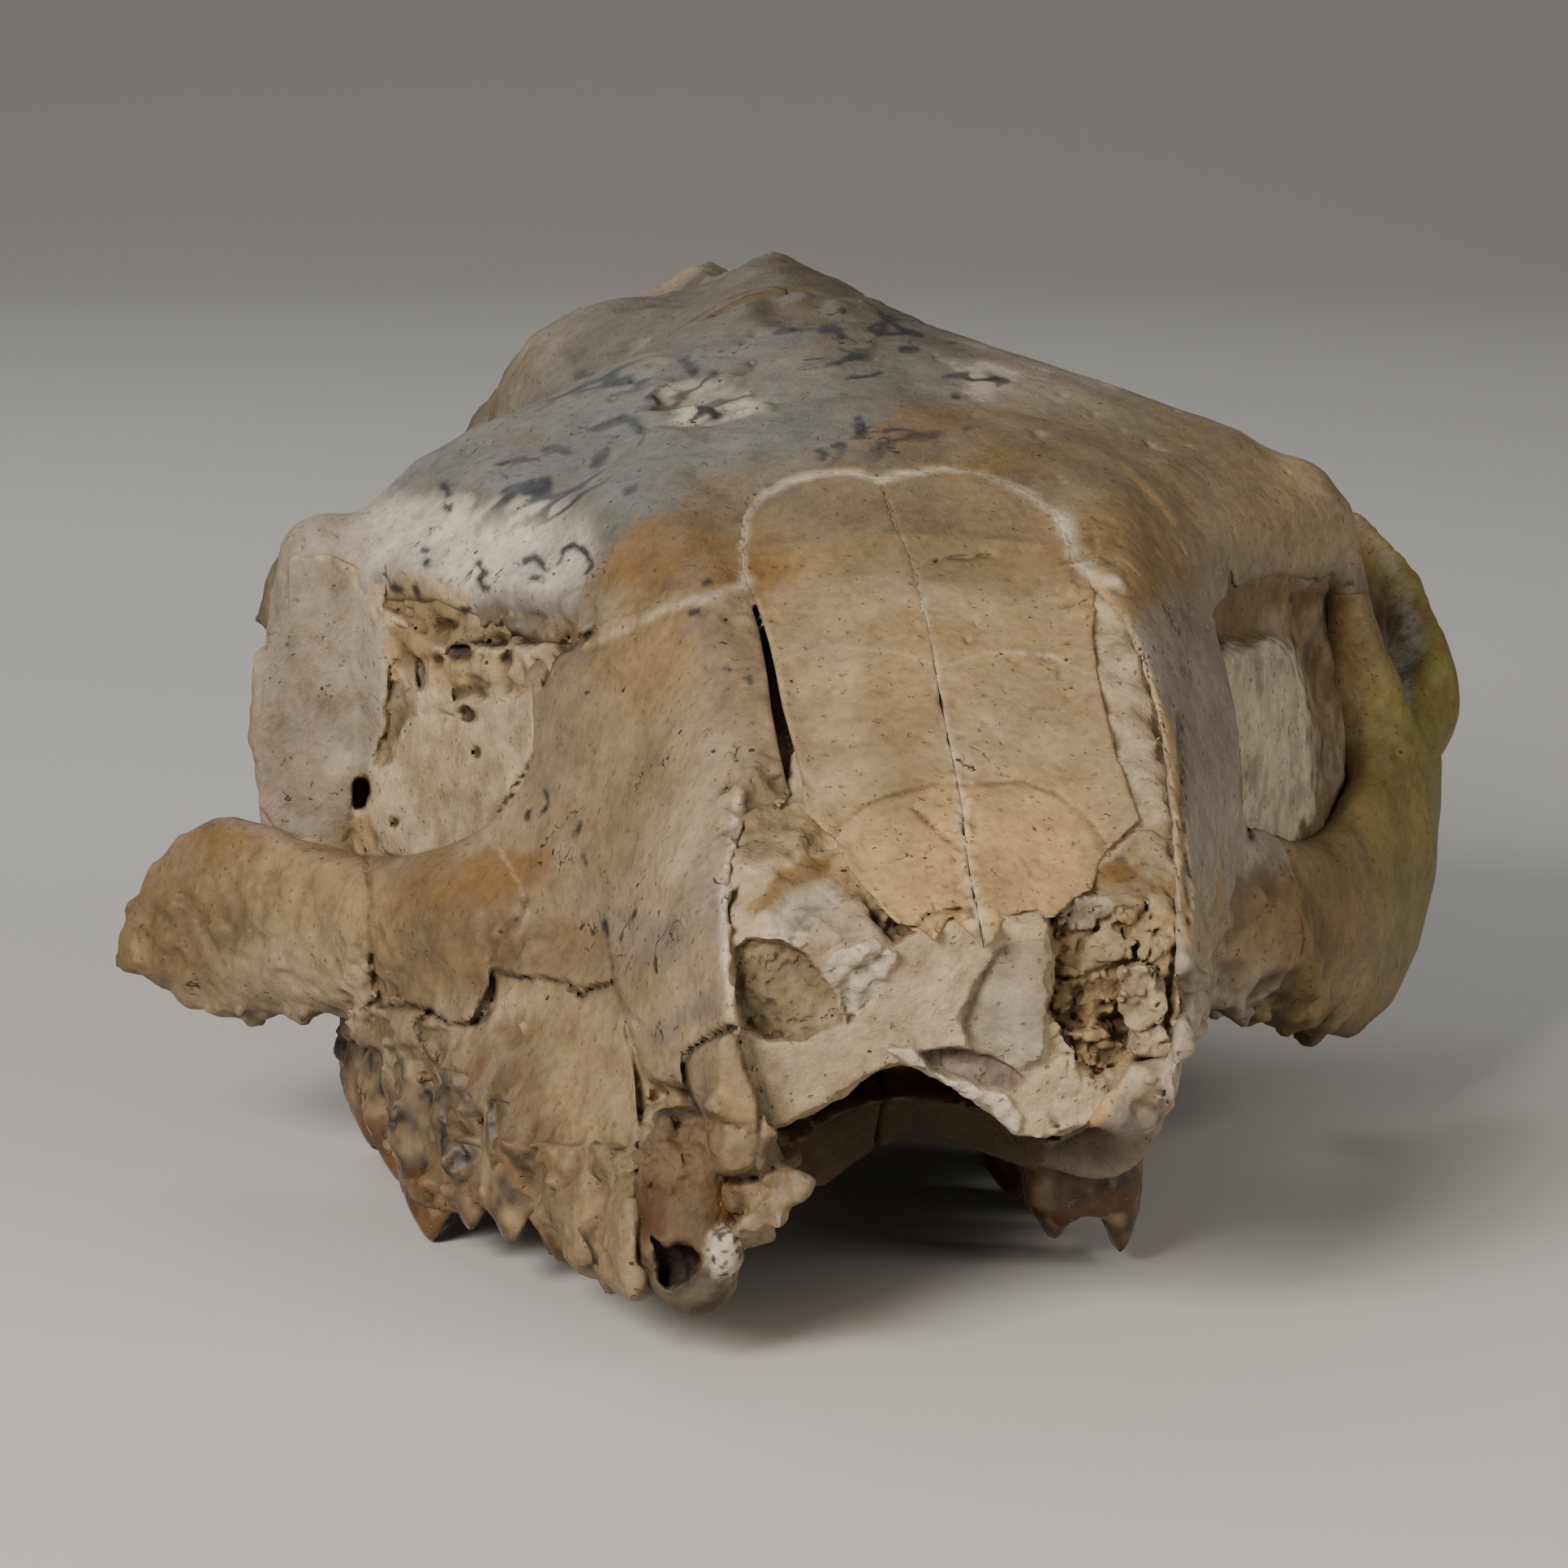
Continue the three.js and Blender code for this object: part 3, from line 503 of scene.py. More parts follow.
# %% Braincase
BRAINCASE = [(62, 13, 16, 66, 0.8), (84, 14, 17, 71, 0.8), (100, 17, 21, 74, 0.8),
             (114, 22, 24, 76.5, 0.8), (130, 27, 24, 77, 0.8), (146, 29, 22, 75.5, 0.74),
             (160, 29, 20, 73.5, 0.64), (170, 26, 21, 71.5, 0.56)]


def braincase_outline(half, low, high, shoulder):
    """Twelve points round the braincase: crown, shoulders, widest part, flanks and floor."""
    middle = (low + high) / 2
    side = [(half * shoulder * 0.5, high - 3.5), (half * shoulder, middle + (high - middle) * 0.5),
            (half, middle - 2), (half * 0.82, low + (middle - low) * 0.35), (half * 0.4, low + 1)]
    return [(0, high), *side, (0, low), *[(-x, z) for x, z in reversed(side)]]


brain_loft = make_loft([(y, braincase_outline(*rest)) for y, *rest in BRAINCASE],
                       [(0, (low + high) / 2) for _, _, low, high, _ in BRAINCASE])

# %% Bars: arches, crests and processes
# Each row is a station: x, y, z, half thickness across, half depth.
BARS = {
    "left_jugal": [(13, 42, 29, 3, 5), (25.5, 52, 28.5, 6.4, 9), (35, 62, 27, 6, 8.5),
                   (43, 75, 22.5, 4.6, 8.5), (50, 87, 21, 4.2, 11), (56, 98, 25, 3.8, 12.5),
                   (60.6, 108, 31, 3, 9), (62, 117, 37, 2.4, 4.5)],
    "left_temporal_arch": [(24, 154, 42, 8, 8), (38, 157, 46.5, 5.5, 7), (50, 154, 51, 3.2, 4.4),
                           (56.6, 147, 51.9, 1.9, 3.2), (60.8, 137, 49.4, 1.8, 4.2),
                           (63.4, 127, 44.6, 2.4, 5.4), (63.6, 118, 40.2, 2.8, 5.8),
                           (63.4, 113.5, 38.2, 3.0, 5.8)],
    "left_glenoid": [(20, 142, 33, 9, 7), (36, 142, 36, 8, 4.4), (47, 143, 41, 6.4, 4.2),
                     (55, 144, 46.5, 4.4, 5)],
    "right_jugal": [(-17, 42, 28, 4, 5), (-28, 52, 28, 7.4, 8.6), (-36, 60, 27, 7, 8),
                    (-43.5, 70, 26, 5.8, 7.6), (-50.5, 80, 24.5, 5, 8.2),
                    (-55.6, 86.5, 24, 4.4, 9.8), (-60.4, 91, 22, 3.4, 7.4), (-66, 94.6, 19, 0.8, 1.2)],
    "right_temporal_stub": [(-24, 152, 42, 8, 9), (-36, 152, 44, 6, 7), (-46, 148, 46, 3.4, 5.5)],
    "right_glenoid": [(-20, 142, 33, 9, 7), (-34, 142, 35, 8, 4.4), (-43, 142, 38, 6, 4.2)],
    "sagittal_crest": [(0, 116, 73.4, 5, 5), (0, 128, 74, 3.4, 5.6), (-0.5, 144, 73, 2.2, 5.4),
                       (-1, 160, 72, 2.2, 4.8), (-1.5, 173, 71, 3, 4)],
    "skull_base": [(-5, 86, 22, 6, 6), (-3, 104, 23, 6, 5), (0, 124, 22, 8, 5.5),
                   (0, 146, 22, 10, 6), (0, 168, 25, 11, 6)],
    "right_crust": [(-33.4, 33, 15, 2.8, 4.2), (-32, 28, 13.6, 3.2, 4.6), (-30.4, 23.5, 11.4, 3.4, 5.4),
                    (-28.4, 18.5, 9.8, 3.4, 5.2), (-27, 13, 9.4, 2.8, 4.8), (-27.6, 8, 10.4, 1.6, 4.6)],
    "row_crust": [(-42.4, 76, 12, 2.4, 4.4), (-42, 66, 9.4, 2.4, 4.6), (-40.4, 57, 8.4, 2.4, 4.5),
                  (-38.6, 49, 8.6, 2.4, 4.2), (-36.2, 42, 9.8, 2.2, 3.4)],
    "right_gum": [(-22.5, 10, 14.5, 4.4, 5), (-26.5, 22, 14.5, 5, 6.4), (-31.5, 40, 15.5, 6, 7),
                  (-36, 58, 17, 7.6, 7.6), (-38.4, 76, 18, 8, 8), (-39.4, 90, 19.5, 7, 8),
                  (-38, 99, 21, 4.6, 6)],
    "left_gum": [(15.4, 30, 16, 4.2, 5.6), (16, 44, 16, 5.2, 6.8), (17, 62, 16.5, 6.2, 7.4),
                 (19, 86, 18, 6.6, 7.4), (19, 99, 20, 4.6, 6)],
    "palate_back": [(-9, 62, 19, 17, 5), (-9, 80, 19.5, 19, 5), (-9, 96, 21.5, 15, 4.4)],
    "right_pterygoid": [(-15, 92, 16, 2.4, 7), (-11, 106, 16, 1.8, 8), (-9, 122, 19, 1.6, 6)],
    "left_pterygoid": [(5, 92, 16, 2.4, 7), (5, 106, 16, 1.8, 8), (7, 122, 19, 1.6, 6)],
    "snout_knob": [(15.4, 22, 20, 3, 4), (15.4, 12, 21.5, 3.2, 4.4), (14.9, 5.6, 23.2, 2.8, 3)],
}
UPRIGHT_BARS = {
    "left_jugal_flange": [(52, 93, 22, 3, 8), (49.5, 92.5, 15, 2.8, 6), (47.2, 92, 9.4, 1.3, 2.4)],
    "left_orbit_bar": [(46, 94.5, 60.5, 3.4, 3.6), (49.8, 95.5, 55.7, 1.9, 3.0), (51.6, 96, 48.2, 2.6, 3.4),
                       (52.4, 97, 44.1, 3.4, 3.8), (54, 98.5, 38, 4.6, 4), (54, 99, 27, 6, 4.4)],
    "right_orbit_bar": [(-46, 93.5, 56.5, 5, 4.5), (-47, 94.5, 50, 5, 4.4), (-47, 95, 41, 6.4, 4.4),
                        (-47, 94, 33, 6, 5), (-47.5, 90, 27, 4.6, 5)],
    "nuchal_crest": [(-30.5, 160, 36, 3, 5), (-30.5, 163, 47, 2.8, 5), (-24.5, 167, 59, 2.8, 5),
                     (-11.5, 171.5, 68.6, 2.8, 4.6), (0, 173.5, 71.4, 3, 4.2),
                     (11.5, 171.5, 68.2, 2.8, 4.6), (24.5, 167, 58, 2.8, 5), (30.5, 163, 46, 2.8, 5),
                     (30.5, 160, 35, 3, 5)],
    "left_rest_process": [(23, 158, 34, 7, 6), (24, 160, 22, 4.6, 5), (23.4, 162, 9, 3.4, 3.8),
                          (22.8, 163, -1.5, 2.8, 3)],
    "right_rest_process": [(-23, 158, 34, 7, 6), (-24, 160, 22, 4.6, 5), (-23.4, 162, 9, 3.4, 3.8),
                           (-22.8, 163, -1.5, 2.8, 3)],
}
EGGS = {
    "left_ear_capsule": ((15, 147, 18.5), (6.5, 10, 9.5)),
    "right_ear_capsule": ((-15, 147, 18.5), (6.5, 10, 9.5)),
    "crest_knob": ((1.4, 129, 75.3), (7.4, 10, 4.2)),
    "crest_shoulder": ((-11.5, 138, 64.4), (14.5, 27, 10.8)),
    "left_condyle": ((9, 171, 27), (6.5, 7.5, 7.5)),
    "right_condyle": ((-9, 171, 27), (6.5, 7.5, 7.5)),
}
# Lumps on the broken left wall of the snout, which stand in front of the nose's hollow.
LOBES = {"orange_lobe": ((12.0, 4.6, 21.8), (2.3, 3.4, 2.9)),
         "pale_lobe": ((15.4, 5.6, 23.9), (3.4, 4.2, 3.0)),
         "lower_lobe": ((13.6, 6.4, 20.4), (2.6, 3.4, 2.4))}
FILLET = {"right_crust": 2, "left_jugal": 3, "right_jugal": 3, "palate_back": 3, "sagittal_crest": 4,
          "nuchal_crest": 4, "crest_shoulder": 8, "crest_knob": 2, "left_glenoid": 5, "right_glenoid": 5,
           "skull_base": 5,
          "left_temporal_arch": 4, "left_orbit_bar": 4, "right_temporal_stub": 4}
NEAR = 8.0

forms = [((-45, 0, 5), (36, 75, 74), 3.0, lambda p: loft_field(p, face_loft)),
         ((-52, 47, 45), (52, 130, 84), 4.0, forehead_field),
         ((-32, 62, 12), (32, 170, 80), 6.0, lambda p: loft_field(p, brain_loft))]


def add_bar(name, stations, up):
    """Puts a bar on the list of forms, with the box that holds it."""
    s = np.array(stations, float)
    reach = s[:, 3:].max() + 1
    forms.append((s[:, :3].min(0) - reach, s[:, :3].max(0) + reach, FILLET.get(name, 2.5),
                  lambda p: bar_field(p, stations, up)))


for bar_name, bar_stations in BARS.items():
    add_bar(bar_name, bar_stations, UP)
for bar_name, bar_stations in UPRIGHT_BARS.items():
    add_bar(bar_name, bar_stations, BACK)
for name, (centre, half) in EGGS.items():
    forms.append((np.subtract(centre, half), np.add(centre, half), FILLET.get(name, 3.0),
                  lambda p, c=centre, h=half: egg_field(p, c, h)))
print(len(forms), "forms")

# %% Hollows
NOSE_HOLLOW = [
    (-4, [(0, 33), (9, 33.2), (15.6, 31), (16, 26), (15.6, 21), (9, 17.5), (-4, 17.5),
          (-14, 17.5), (-16.6, 21), (-17.6, 27), (-16.6, 31.5), (-9, 33)]),
    (6, [(0, 38), (9, 37.6), (16, 35.8), (16.8, 29), (15.6, 21), (9, 17.5), (-4, 17.5),
         (-14, 17.5), (-17, 21), (-18.6, 29), (-17, 36.2), (-9, 37.6)]),
    (18, [(0, 44.8), (9, 44), (15.6, 42.6), (17.6, 34), (15.4, 23), (9, 18.5), (-4, 18.5),
          (-14, 18.5), (-18, 23), (-20, 33), (-15.6, 42), (-9, 43.6)]),
    (30, [(0, 50), (8, 49), (13, 46), (15, 36), (13, 26), (8, 20.5), (-4, 20),
          (-12, 20.5), (-15, 26), (-16.5, 36), (-13, 46), (-8, 49)]),
]
nose_loft = make_loft(NOSE_HOLLOW, [(0, 26), (-0.5, 27), (-1, 30), (-0.5, 34)])
ORBIT_HALF = (23, 21.5, 11.6)
hollows = [
    ((-22, -6, 14), (19, 30, 52), 0.6, lambda p: loft_field(p, nose_loft)),
    ((18, 53, 31), (64, 97, 59), 1.6, lambda p: egg_field(p, (41, 75, 43.6), ORBIT_HALF)),
    ((-64, 53, 31), (-18, 97, 59), 1.6, lambda p: egg_field(p, (-41, 75, 43.6), ORBIT_HALF)),
    ((-8, 150, 28), (8, 184, 44), 1.5, lambda p: bar_field(
        p, [(0, 184, 37, 7.6, 6.2), (0, 168, 37, 7, 6), (0, 154, 38, 5, 4.5)])),
    ((-12, 84, 9), (3, 118, 26), 1.5, lambda p: bar_field(
        p, [(-4.5, 118, 14, 6, 6), (-5, 98, 17, 6, 5.5), (-5.5, 86, 21, 5, 3)])),
    ((-17, -10, 3), (12, 25, 21), 1.2, lambda p: bar_field(
        p, [(-2.5, -10, 12, 13.6, 8), (-2.5, 10, 12, 13.6, 8), (-2.5, 23, 11.5, 13.2, 7)])),
]


def bone_field(p):
    """All forms joined, then the hollows cut away, then the ground cut flat."""
    f = np.full(len(p), 30.0)
    for low, high, fillet, field in forms:
        near = np.all((p > np.array(low) - NEAR) & (p < np.array(high) + NEAR), axis=1)
        if near.any():
            f[near] = soft_join(f[near], field(p[near]), fillet)
    for low, high, rounding, field in hollows:
        near = np.all((p > np.array(low) - NEAR) & (p < np.array(high) + NEAR), axis=1)
        if near.any():
            f[near] = soft_cut(f[near], field(p[near]), rounding)
    for centre, half in LOBES.values():
        near = np.all(np.abs(p - np.array(centre)) < np.array(half) + NEAR, axis=1)
        if near.any():
            f[near] = soft_join(f[near], egg_field(p[near], centre, half), 0.9)
    return np.maximum(f, -p[:, 2])

# %% [markdown]
# ## A chart of the front
# Most of the skull's marks are on its front: the sutures, cracks, broken edges and stains.
# They are easiest to draw on a flat sheet that stands before the snout, 1932 units wide, with
# straight lines running from one far point through the sheet to the bone. The chart gives each
# point of the bone its place on that sheet, so a crack is a row of sheet places and a bone's
# outline is a ring of them. The marks are made once, in the mesh, and stay there from any side.

# %% Chart places, lines and rings
RIGHTWARD = np.array([math.cos(CAMERA_TURN), -math.sin(CAMERA_TURN), 0.0])
UPWARD = np.cross(RIGHTWARD, look)


def chart(p):
    """Place on the sheet: how far the point lies to the right and down, over its distance along
    the sheet's normal, times the sheet's scale. Also the millimetres in one unit there."""
    off = p - CAMERA_PLACE
    depth = off @ look
    u = SHEET / 2 + LENS * (off @ RIGHTWARD) / depth
    v = SHEET / 2 - LENS * (off @ UPWARD) / depth
    return np.stack([u, v], 1), depth / LENS


def line_distance(uv, line, reach=60):
    """Distance in sheet units from each place to a bent line, and how far along it the nearest
    point is, from 0 to 1. Places further than the reach keep the reach."""
    line = np.asarray(line, float)
    best = np.full(len(uv), float(reach))
    share = np.zeros(len(uv))
    close = np.all((uv > line.min(0) - reach) & (uv < line.max(0) + reach), axis=1)
    q = uv[close]
    if len(q):
        steps = np.hypot(*np.diff(line, axis=0).T)
        before = np.concatenate([[0], np.cumsum(steps)])
        near = np.full(len(q), float(reach))
        where = np.zeros(len(q))
        for a, b, s0, length in zip(line[:-1], line[1:], before, steps):
            t = np.clip((q - a) @ (b - a) / length ** 2, 0, 1)
            d = np.hypot(*(q - a - t[:, None] * (b - a)).T)
            closer = d < near
            near[closer] = d[closer]
            where[closer] = (s0 + t[closer] * length) / before[-1]
        best[close] = near
        share[close] = where
    return best, share


def ring_distance(uv, ring, reach=120):
    """Signed distance in sheet units to a closed ring, below zero inside it. A place is inside if
    a line to the right of it meets the ring an odd number of times."""
    ring = np.asarray(ring, float)
    closed = np.vstack([ring, ring[:1]])
    d, _ = line_distance(uv, closed, reach)
    odd = np.zeros(len(uv), bool)
    for (x0, y0), (x1, y1) in zip(closed[:-1], closed[1:]):
        if y0 == y1:
            continue
        spans = (uv[:, 1] > min(y0, y1)) & (uv[:, 1] <= max(y0, y1))
        meets = x0 + (uv[:, 1] - y0) * (x1 - x0) / (y1 - y0)
        odd ^= spans & (uv[:, 0] < meets)
    return np.where(odd, -d, d)


# %% [markdown]
# ## Where one bone ends and the next begins
# In life the skull's bones meet at sutures, and the fossil has opened along some of them and
# broken along other lines. Each bone is its own piece here: the joined form, cut to a cell. The
# cells are set out one after another, and each keeps clear of those before it, so that the
# bones fit like the pieces of a puzzle with a fine ragged seam.

# %% Outlines on the chart
MIDLINE_SUTURE = [(1085, 592), (1100, 640), (1122, 690), (1136, 740), (1148, 800), (1162, 880),
                  (1172, 930), (1184, 985), (1188, 1030), (1196, 1085), (1206, 1130), (1212, 1168)]
NASAL_TOP_RIGHT = [(918, 722), (914, 680), (918, 640), (938, 612), (968, 594), (1010, 583),
                   (1050, 582), (1085, 592)]
NASAL_TOP_LEFT = [(1085, 592), (1110, 584), (1160, 578), (1215, 586), (1262, 606), (1296, 632),
                  (1312, 660), (1322, 692), (1345, 712)]
RIGHT_NASAL = (NASAL_TOP_RIGHT + MIDLINE_SUTURE[1:]
               + [(1196, 1150), (1172, 1130), (1150, 1158), (1130, 1142), (1106, 1138),
                  (1082, 1112), (1058, 1088), (1040, 1062), (1030, 1036), (1010, 1016),
                  (990, 1004), (984, 960), (972, 912), (962, 870), (956, 830), (946, 790),
                  (930, 742)])
LEFT_NASAL = (NASAL_TOP_LEFT
              + [(1350, 740), (1346, 780), (1352, 830), (1362, 880), (1376, 930), (1392, 975),
                 (1404, 1010), (1372, 1040), (1352, 1066), (1346, 1096), (1318, 1112),
                 (1300, 1132), (1262, 1126), (1236, 1132), (1222, 1162)]
              + MIDLINE_SUTURE[::-1][:-1])
FRONTAL_EDGE = [(250, 800), (420, 770), (520, 800), (600, 806), (690, 800), (740, 772), (800, 752),
                (870, 734)] + NASAL_TOP_RIGHT + NASAL_TOP_LEFT[1:] + [
                    (1376, 706), (1420, 735), (1470, 770), (1520, 800), (1700, 800), (1800, 900)]
FRONTAL = FRONTAL_EDGE + [(1900, 200), (150, 200)]
GAP = [(924, 742), (932, 744), (947, 790), (956, 830), (964, 872), (976, 914), (988, 960),
       (992, 1000), (980, 994), (968, 960), (959, 920), (950, 872), (945, 830), (936, 780)]
LOST_CORNER = [(1452, 1306), (1520, 1280), (1520, 1620), (1262, 1620), (1280, 1440), (1296, 1410),
               (1352, 1380),
               (1386, 1402), (1422, 1386), (1448, 1346)]
PLATE = 2.3
SEAM = -0.35


def ragged(p, size=1.3, height=0.16, seed=5):
    """A small in-and-out added to a cell's border, so that a seam isn't a clean cut."""
    return height * grain(p, size, seed)


def plate_cell(ring):
    """The cell of a bony plate: inside a ring on the chart, and no deeper than the plate."""
    def cell(p):
        uv, unit = chart(p)
        edge = ring_distance(uv, ring) * unit + ragged(p)
        inner = -loft_field(p, face_loft) - PLATE - 0.3 * grain(p, 4, 2)
        return np.maximum(np.maximum(edge, inner), p[:, 1] - 66)
    return cell


def frontal_cell(p):
    """Above the seam on the chart, above the forehead's underside, and in front of the
    braincase's own roof."""
    uv, unit = chart(p)
    _, under, _ = forehead_heights(p)
    edge = ring_distance(uv, FRONTAL, 200) * unit + ragged(p, 1.6, 0.25, 8)
    back = p[:, 1] - 112 + 3 * np.sin(p[:, 0] * 0.25) + ragged(p, 2.5, 0.8, 9)
    return np.maximum(np.maximum(edge, under - 1.5 - p[:, 2]), np.maximum(back, 44 - p[:, 1]))


def right_jugal_cell(p):
    """Everything outside the fracture of the right cheek arch, which runs nearly upright, and
    above it the whole bar behind the orbit."""
    break_line = (p[:, 0] + 44 - 9 * smooth_step(29, 33, p[:, 2]) + 0.05 * (p[:, 2] - 26)
                  + ragged(p, 2.2, 0.5, 11))
    return np.maximum(np.maximum(break_line, p[:, 1] - 104), 66 - p[:, 1])


def left_jugal_cell(p):
    """Everything outside a slanting suture in the left cheek, back to the arch's root."""
    suture = 35.5 - p[:, 0] - 0.55 * (p[:, 1] - 64) * (p[:, 1] < 110) + ragged(p, 2.2, 0.5, 12)
    return np.maximum(np.maximum(suture, 34.5 - p[:, 0]), 52 - p[:, 1])


def right_face_cell(p):
    """The right half of the muzzle and palate."""
    return np.maximum(p[:, 0] + 4 + ragged(p, 2, 0.3, 13), p[:, 1] - 79 + ragged(p, 3, 0.8, 14))


def left_face_cell(p):
    """The left half of the muzzle and palate."""
    return np.maximum(-4 - p[:, 0], p[:, 1] - 79 + ragged(p, 3, 0.8, 14))


def braincase_cell(p):
    """What is left: the braincase, the skull's base and back, and the rear of the palate."""
    return 70 - p[:, 1]


CELLS = {"right_nasal_bone": plate_cell(RIGHT_NASAL), "left_nasal_bone": plate_cell(LEFT_NASAL),
         "frontal_bones": frontal_cell, "right_jugal_bone": right_jugal_cell,
         "left_jugal_and_arch": left_jugal_cell, "right_maxilla": right_face_cell,
         "left_maxilla": left_face_cell, "braincase": braincase_cell}
print("cells:", ", ".join(CELLS))


def cell_of(name, p):
    """The named cell, kept out of every cell before it but for the seam's small overlap."""
    order = list(CELLS)
    f = CELLS[name](p)
    for other in order[:order.index(name)]:
        f = np.maximum(f, SEAM - CELLS[other](p))
    return f

# %% [markdown]
# ## The broken front of the snout
# Where the snout snapped off, one looks straight at the break: cream sediment that filled the
# nose, flakes and a brown lump stuck in it, crumbled bone on the left, and an arch below where
# the palate is lost. All of it faces forwards, so its shape is a map: for each place on
# the chart, how far back the surface lies. The map is built from patches with their own
# depth, tilt, edge and roughness, each laid over the ones before.

# %% The map of the break
# Each patch: ring on the chart, place along y in mm, tilt in mm over 100 units across and down,
# width of its edge in units, roughness in mm and the size of its grain in mm.
BREAK_PATCHES = [
    ("cream", [(905, 1040), (960, 1010), (1040, 1060), (1120, 1130), (1300, 1120), (1296, 1250),
               (1352, 1330), (1352, 1372), (1292, 1404), (1250, 1398), (1170, 1338), (1110, 1310),
               (1040, 1348), (930, 1410), (925, 1340), (903, 1270), (893, 1180), (893, 1100)],
     3.2, (0, 0.6), 5, 0.22, 2.6),
    ("upper left hollow", [(905, 985), (940, 985), (1000, 1005), (1032, 1050), (1060, 1090),
                           (1128, 1150), (1100, 1165), (1060, 1120), (1000, 1060), (930, 1062),
                           (900, 1050)], 5.6, (0, 0), 5, 1.8, 1.6),
    ("pale strip", [(893, 1062), (925, 1064), (938, 1090), (925, 1128), (935, 1160), (900, 1165),
                    (892, 1120)], 4.2, (-1, 0), 3, 0.25, 1.5),
    ("brown flake", [(960, 1072), (1000, 1056), (1024, 1062), (1018, 1082), (988, 1088),
                     (968, 1102), (948, 1118), (922, 1132), (914, 1122), (945, 1098)],
     3.6, (0, 2), 3, 0.25, 1.0),
    ("fibrous shard", [(944, 1132), (976, 1104), (1008, 1090), (1036, 1096), (1040, 1110),
                       (1022, 1128), (1002, 1150), (986, 1170), (966, 1162), (952, 1146)],
     1.6, (3, 1.5), 3, 0.9, 0.9),
    ("brown oval", [(903, 1168), (925, 1156), (962, 1160), (990, 1172), (1012, 1196), (1030, 1232),
                    (1040, 1260), (1022, 1270), (985, 1280), (944, 1280), (912, 1264),
                    (901, 1225)], 5.0, (-2.0, 0.4), 4, 0.4, 0.6),
    ("right lobes", [(1006, 1186), (1040, 1168), (1080, 1160), (1110, 1176), (1096, 1204),
                     (1084, 1226), (1062, 1250), (1044, 1262), (1030, 1228), (1012, 1200)],
     2.8, (0, 3), 5, 0.7, 1.5),
    ("grey plane", [(1232, 1168), (1262, 1156), (1288, 1160), (1290, 1250), (1284, 1308),
                    (1242, 1322), (1196, 1296), (1180, 1262), (1204, 1210)],
     3.4, (-3.4, 0.5), 4, 0.12, 1.4),
    ("purple layer", [(1120, 1296), (1162, 1292), (1222, 1300), (1250, 1318), (1262, 1334),
                      (1240, 1346), (1200, 1334), (1160, 1320), (1128, 1312)],
     5.2, (0, -4), 3, 0.35, 0.8),
    ("lower lip", [(1090, 1292), (1122, 1290), (1150, 1318), (1200, 1336), (1240, 1350),
                   (1262, 1376), (1250, 1398), (1170, 1340), (1112, 1312)],
     2.4, (0, 2), 4, 0.25, 1.2),
    ("left rubble", [(1294, 1120), (1312, 1098), (1348, 1078), (1400, 1030), (1450, 1000),
                     (1456, 1180), (1450, 1312), (1400, 1316), (1352, 1332), (1312, 1286),
                     (1296, 1250)], 6.2, (-1.8, 0), 4, 1.5, 1.5),
    ("orange flake", [(1340, 1078), (1372, 1070), (1420, 1072), (1424, 1100), (1400, 1130),
                      (1370, 1118), (1346, 1096)], 4.4, (0, 2), 6, 0.9, 1.6),
    ("grey knob", [(1320, 1096), (1352, 1096), (1370, 1118), (1368, 1140), (1320, 1146),
                   (1300, 1136)], 5.0, (0, 2), 6, 0.9, 1.4),
    ("under shelf", [(1294, 1150), (1340, 1148), (1392, 1140), (1400, 1180), (1340, 1196),
                     (1296, 1196)], 5.6, (-2, -4), 5, 0.9, 1.2),
    ("brown lumps", [(1296, 1204), (1340, 1200), (1380, 1200), (1378, 1236), (1340, 1262),
                     (1300, 1256)], 5.8, (0, 3), 6, 1.1, 1.3),
    ("crumbs", [(1312, 1270), (1350, 1258), (1378, 1272), (1384, 1296), (1366, 1326),
                (1338, 1318)], 4.8, (0, 2), 6, 1.0, 1.2),
    ("bone strip", [(1386, 1192), (1424, 1196), (1434, 1240), (1446, 1284), (1444, 1304),
                    (1404, 1302), (1386, 1276), (1378, 1232)], 3.4, (0, 1), 4, 0.5, 1.6),
    ("side hollow", [(1372, 1240), (1388, 1252), (1398, 1276), (1384, 1292), (1368, 1270)],
     8.5, (0, 0), 4, 0.4, 1.2),
]
WALL_FRONT = 3.4


def shake_break(p, uv):
    """Chart places moved about by grain, so that the patches get broken edges. On the left,
    where the bone is crumbled, they are moved further."""
    reach = 4.0 + 5.0 * smooth_step(1280, 1300, uv[:, 0])
    return uv + reach[:, None] * np.stack([rough(p, 1.5, 3, 41), rough(p, 1.5, 3, 42)], 1)


def crumb_creases(p, uv):
    """Narrow creases between crumbs, where two grains of noise cross zero: 1 in a crease. They
    are only in the crumbled parts of the break."""
    where = smooth_step(1282, 1302, uv[:, 0]) + 0.6 * smooth_step(1.4, 0.6, np.hypot(
        (uv[:, 0] - 985) / 90, (uv[:, 1] - 1080) / 90))
    crease = 0.6 * np.clip(1 - np.abs(grain(p, 1.9, 45)) * 6, 0, 1)
    crease += 0.4 * np.clip(1 - np.abs(grain(p, 1.0, 46)) * 5, 0, 1)
    return crease * where


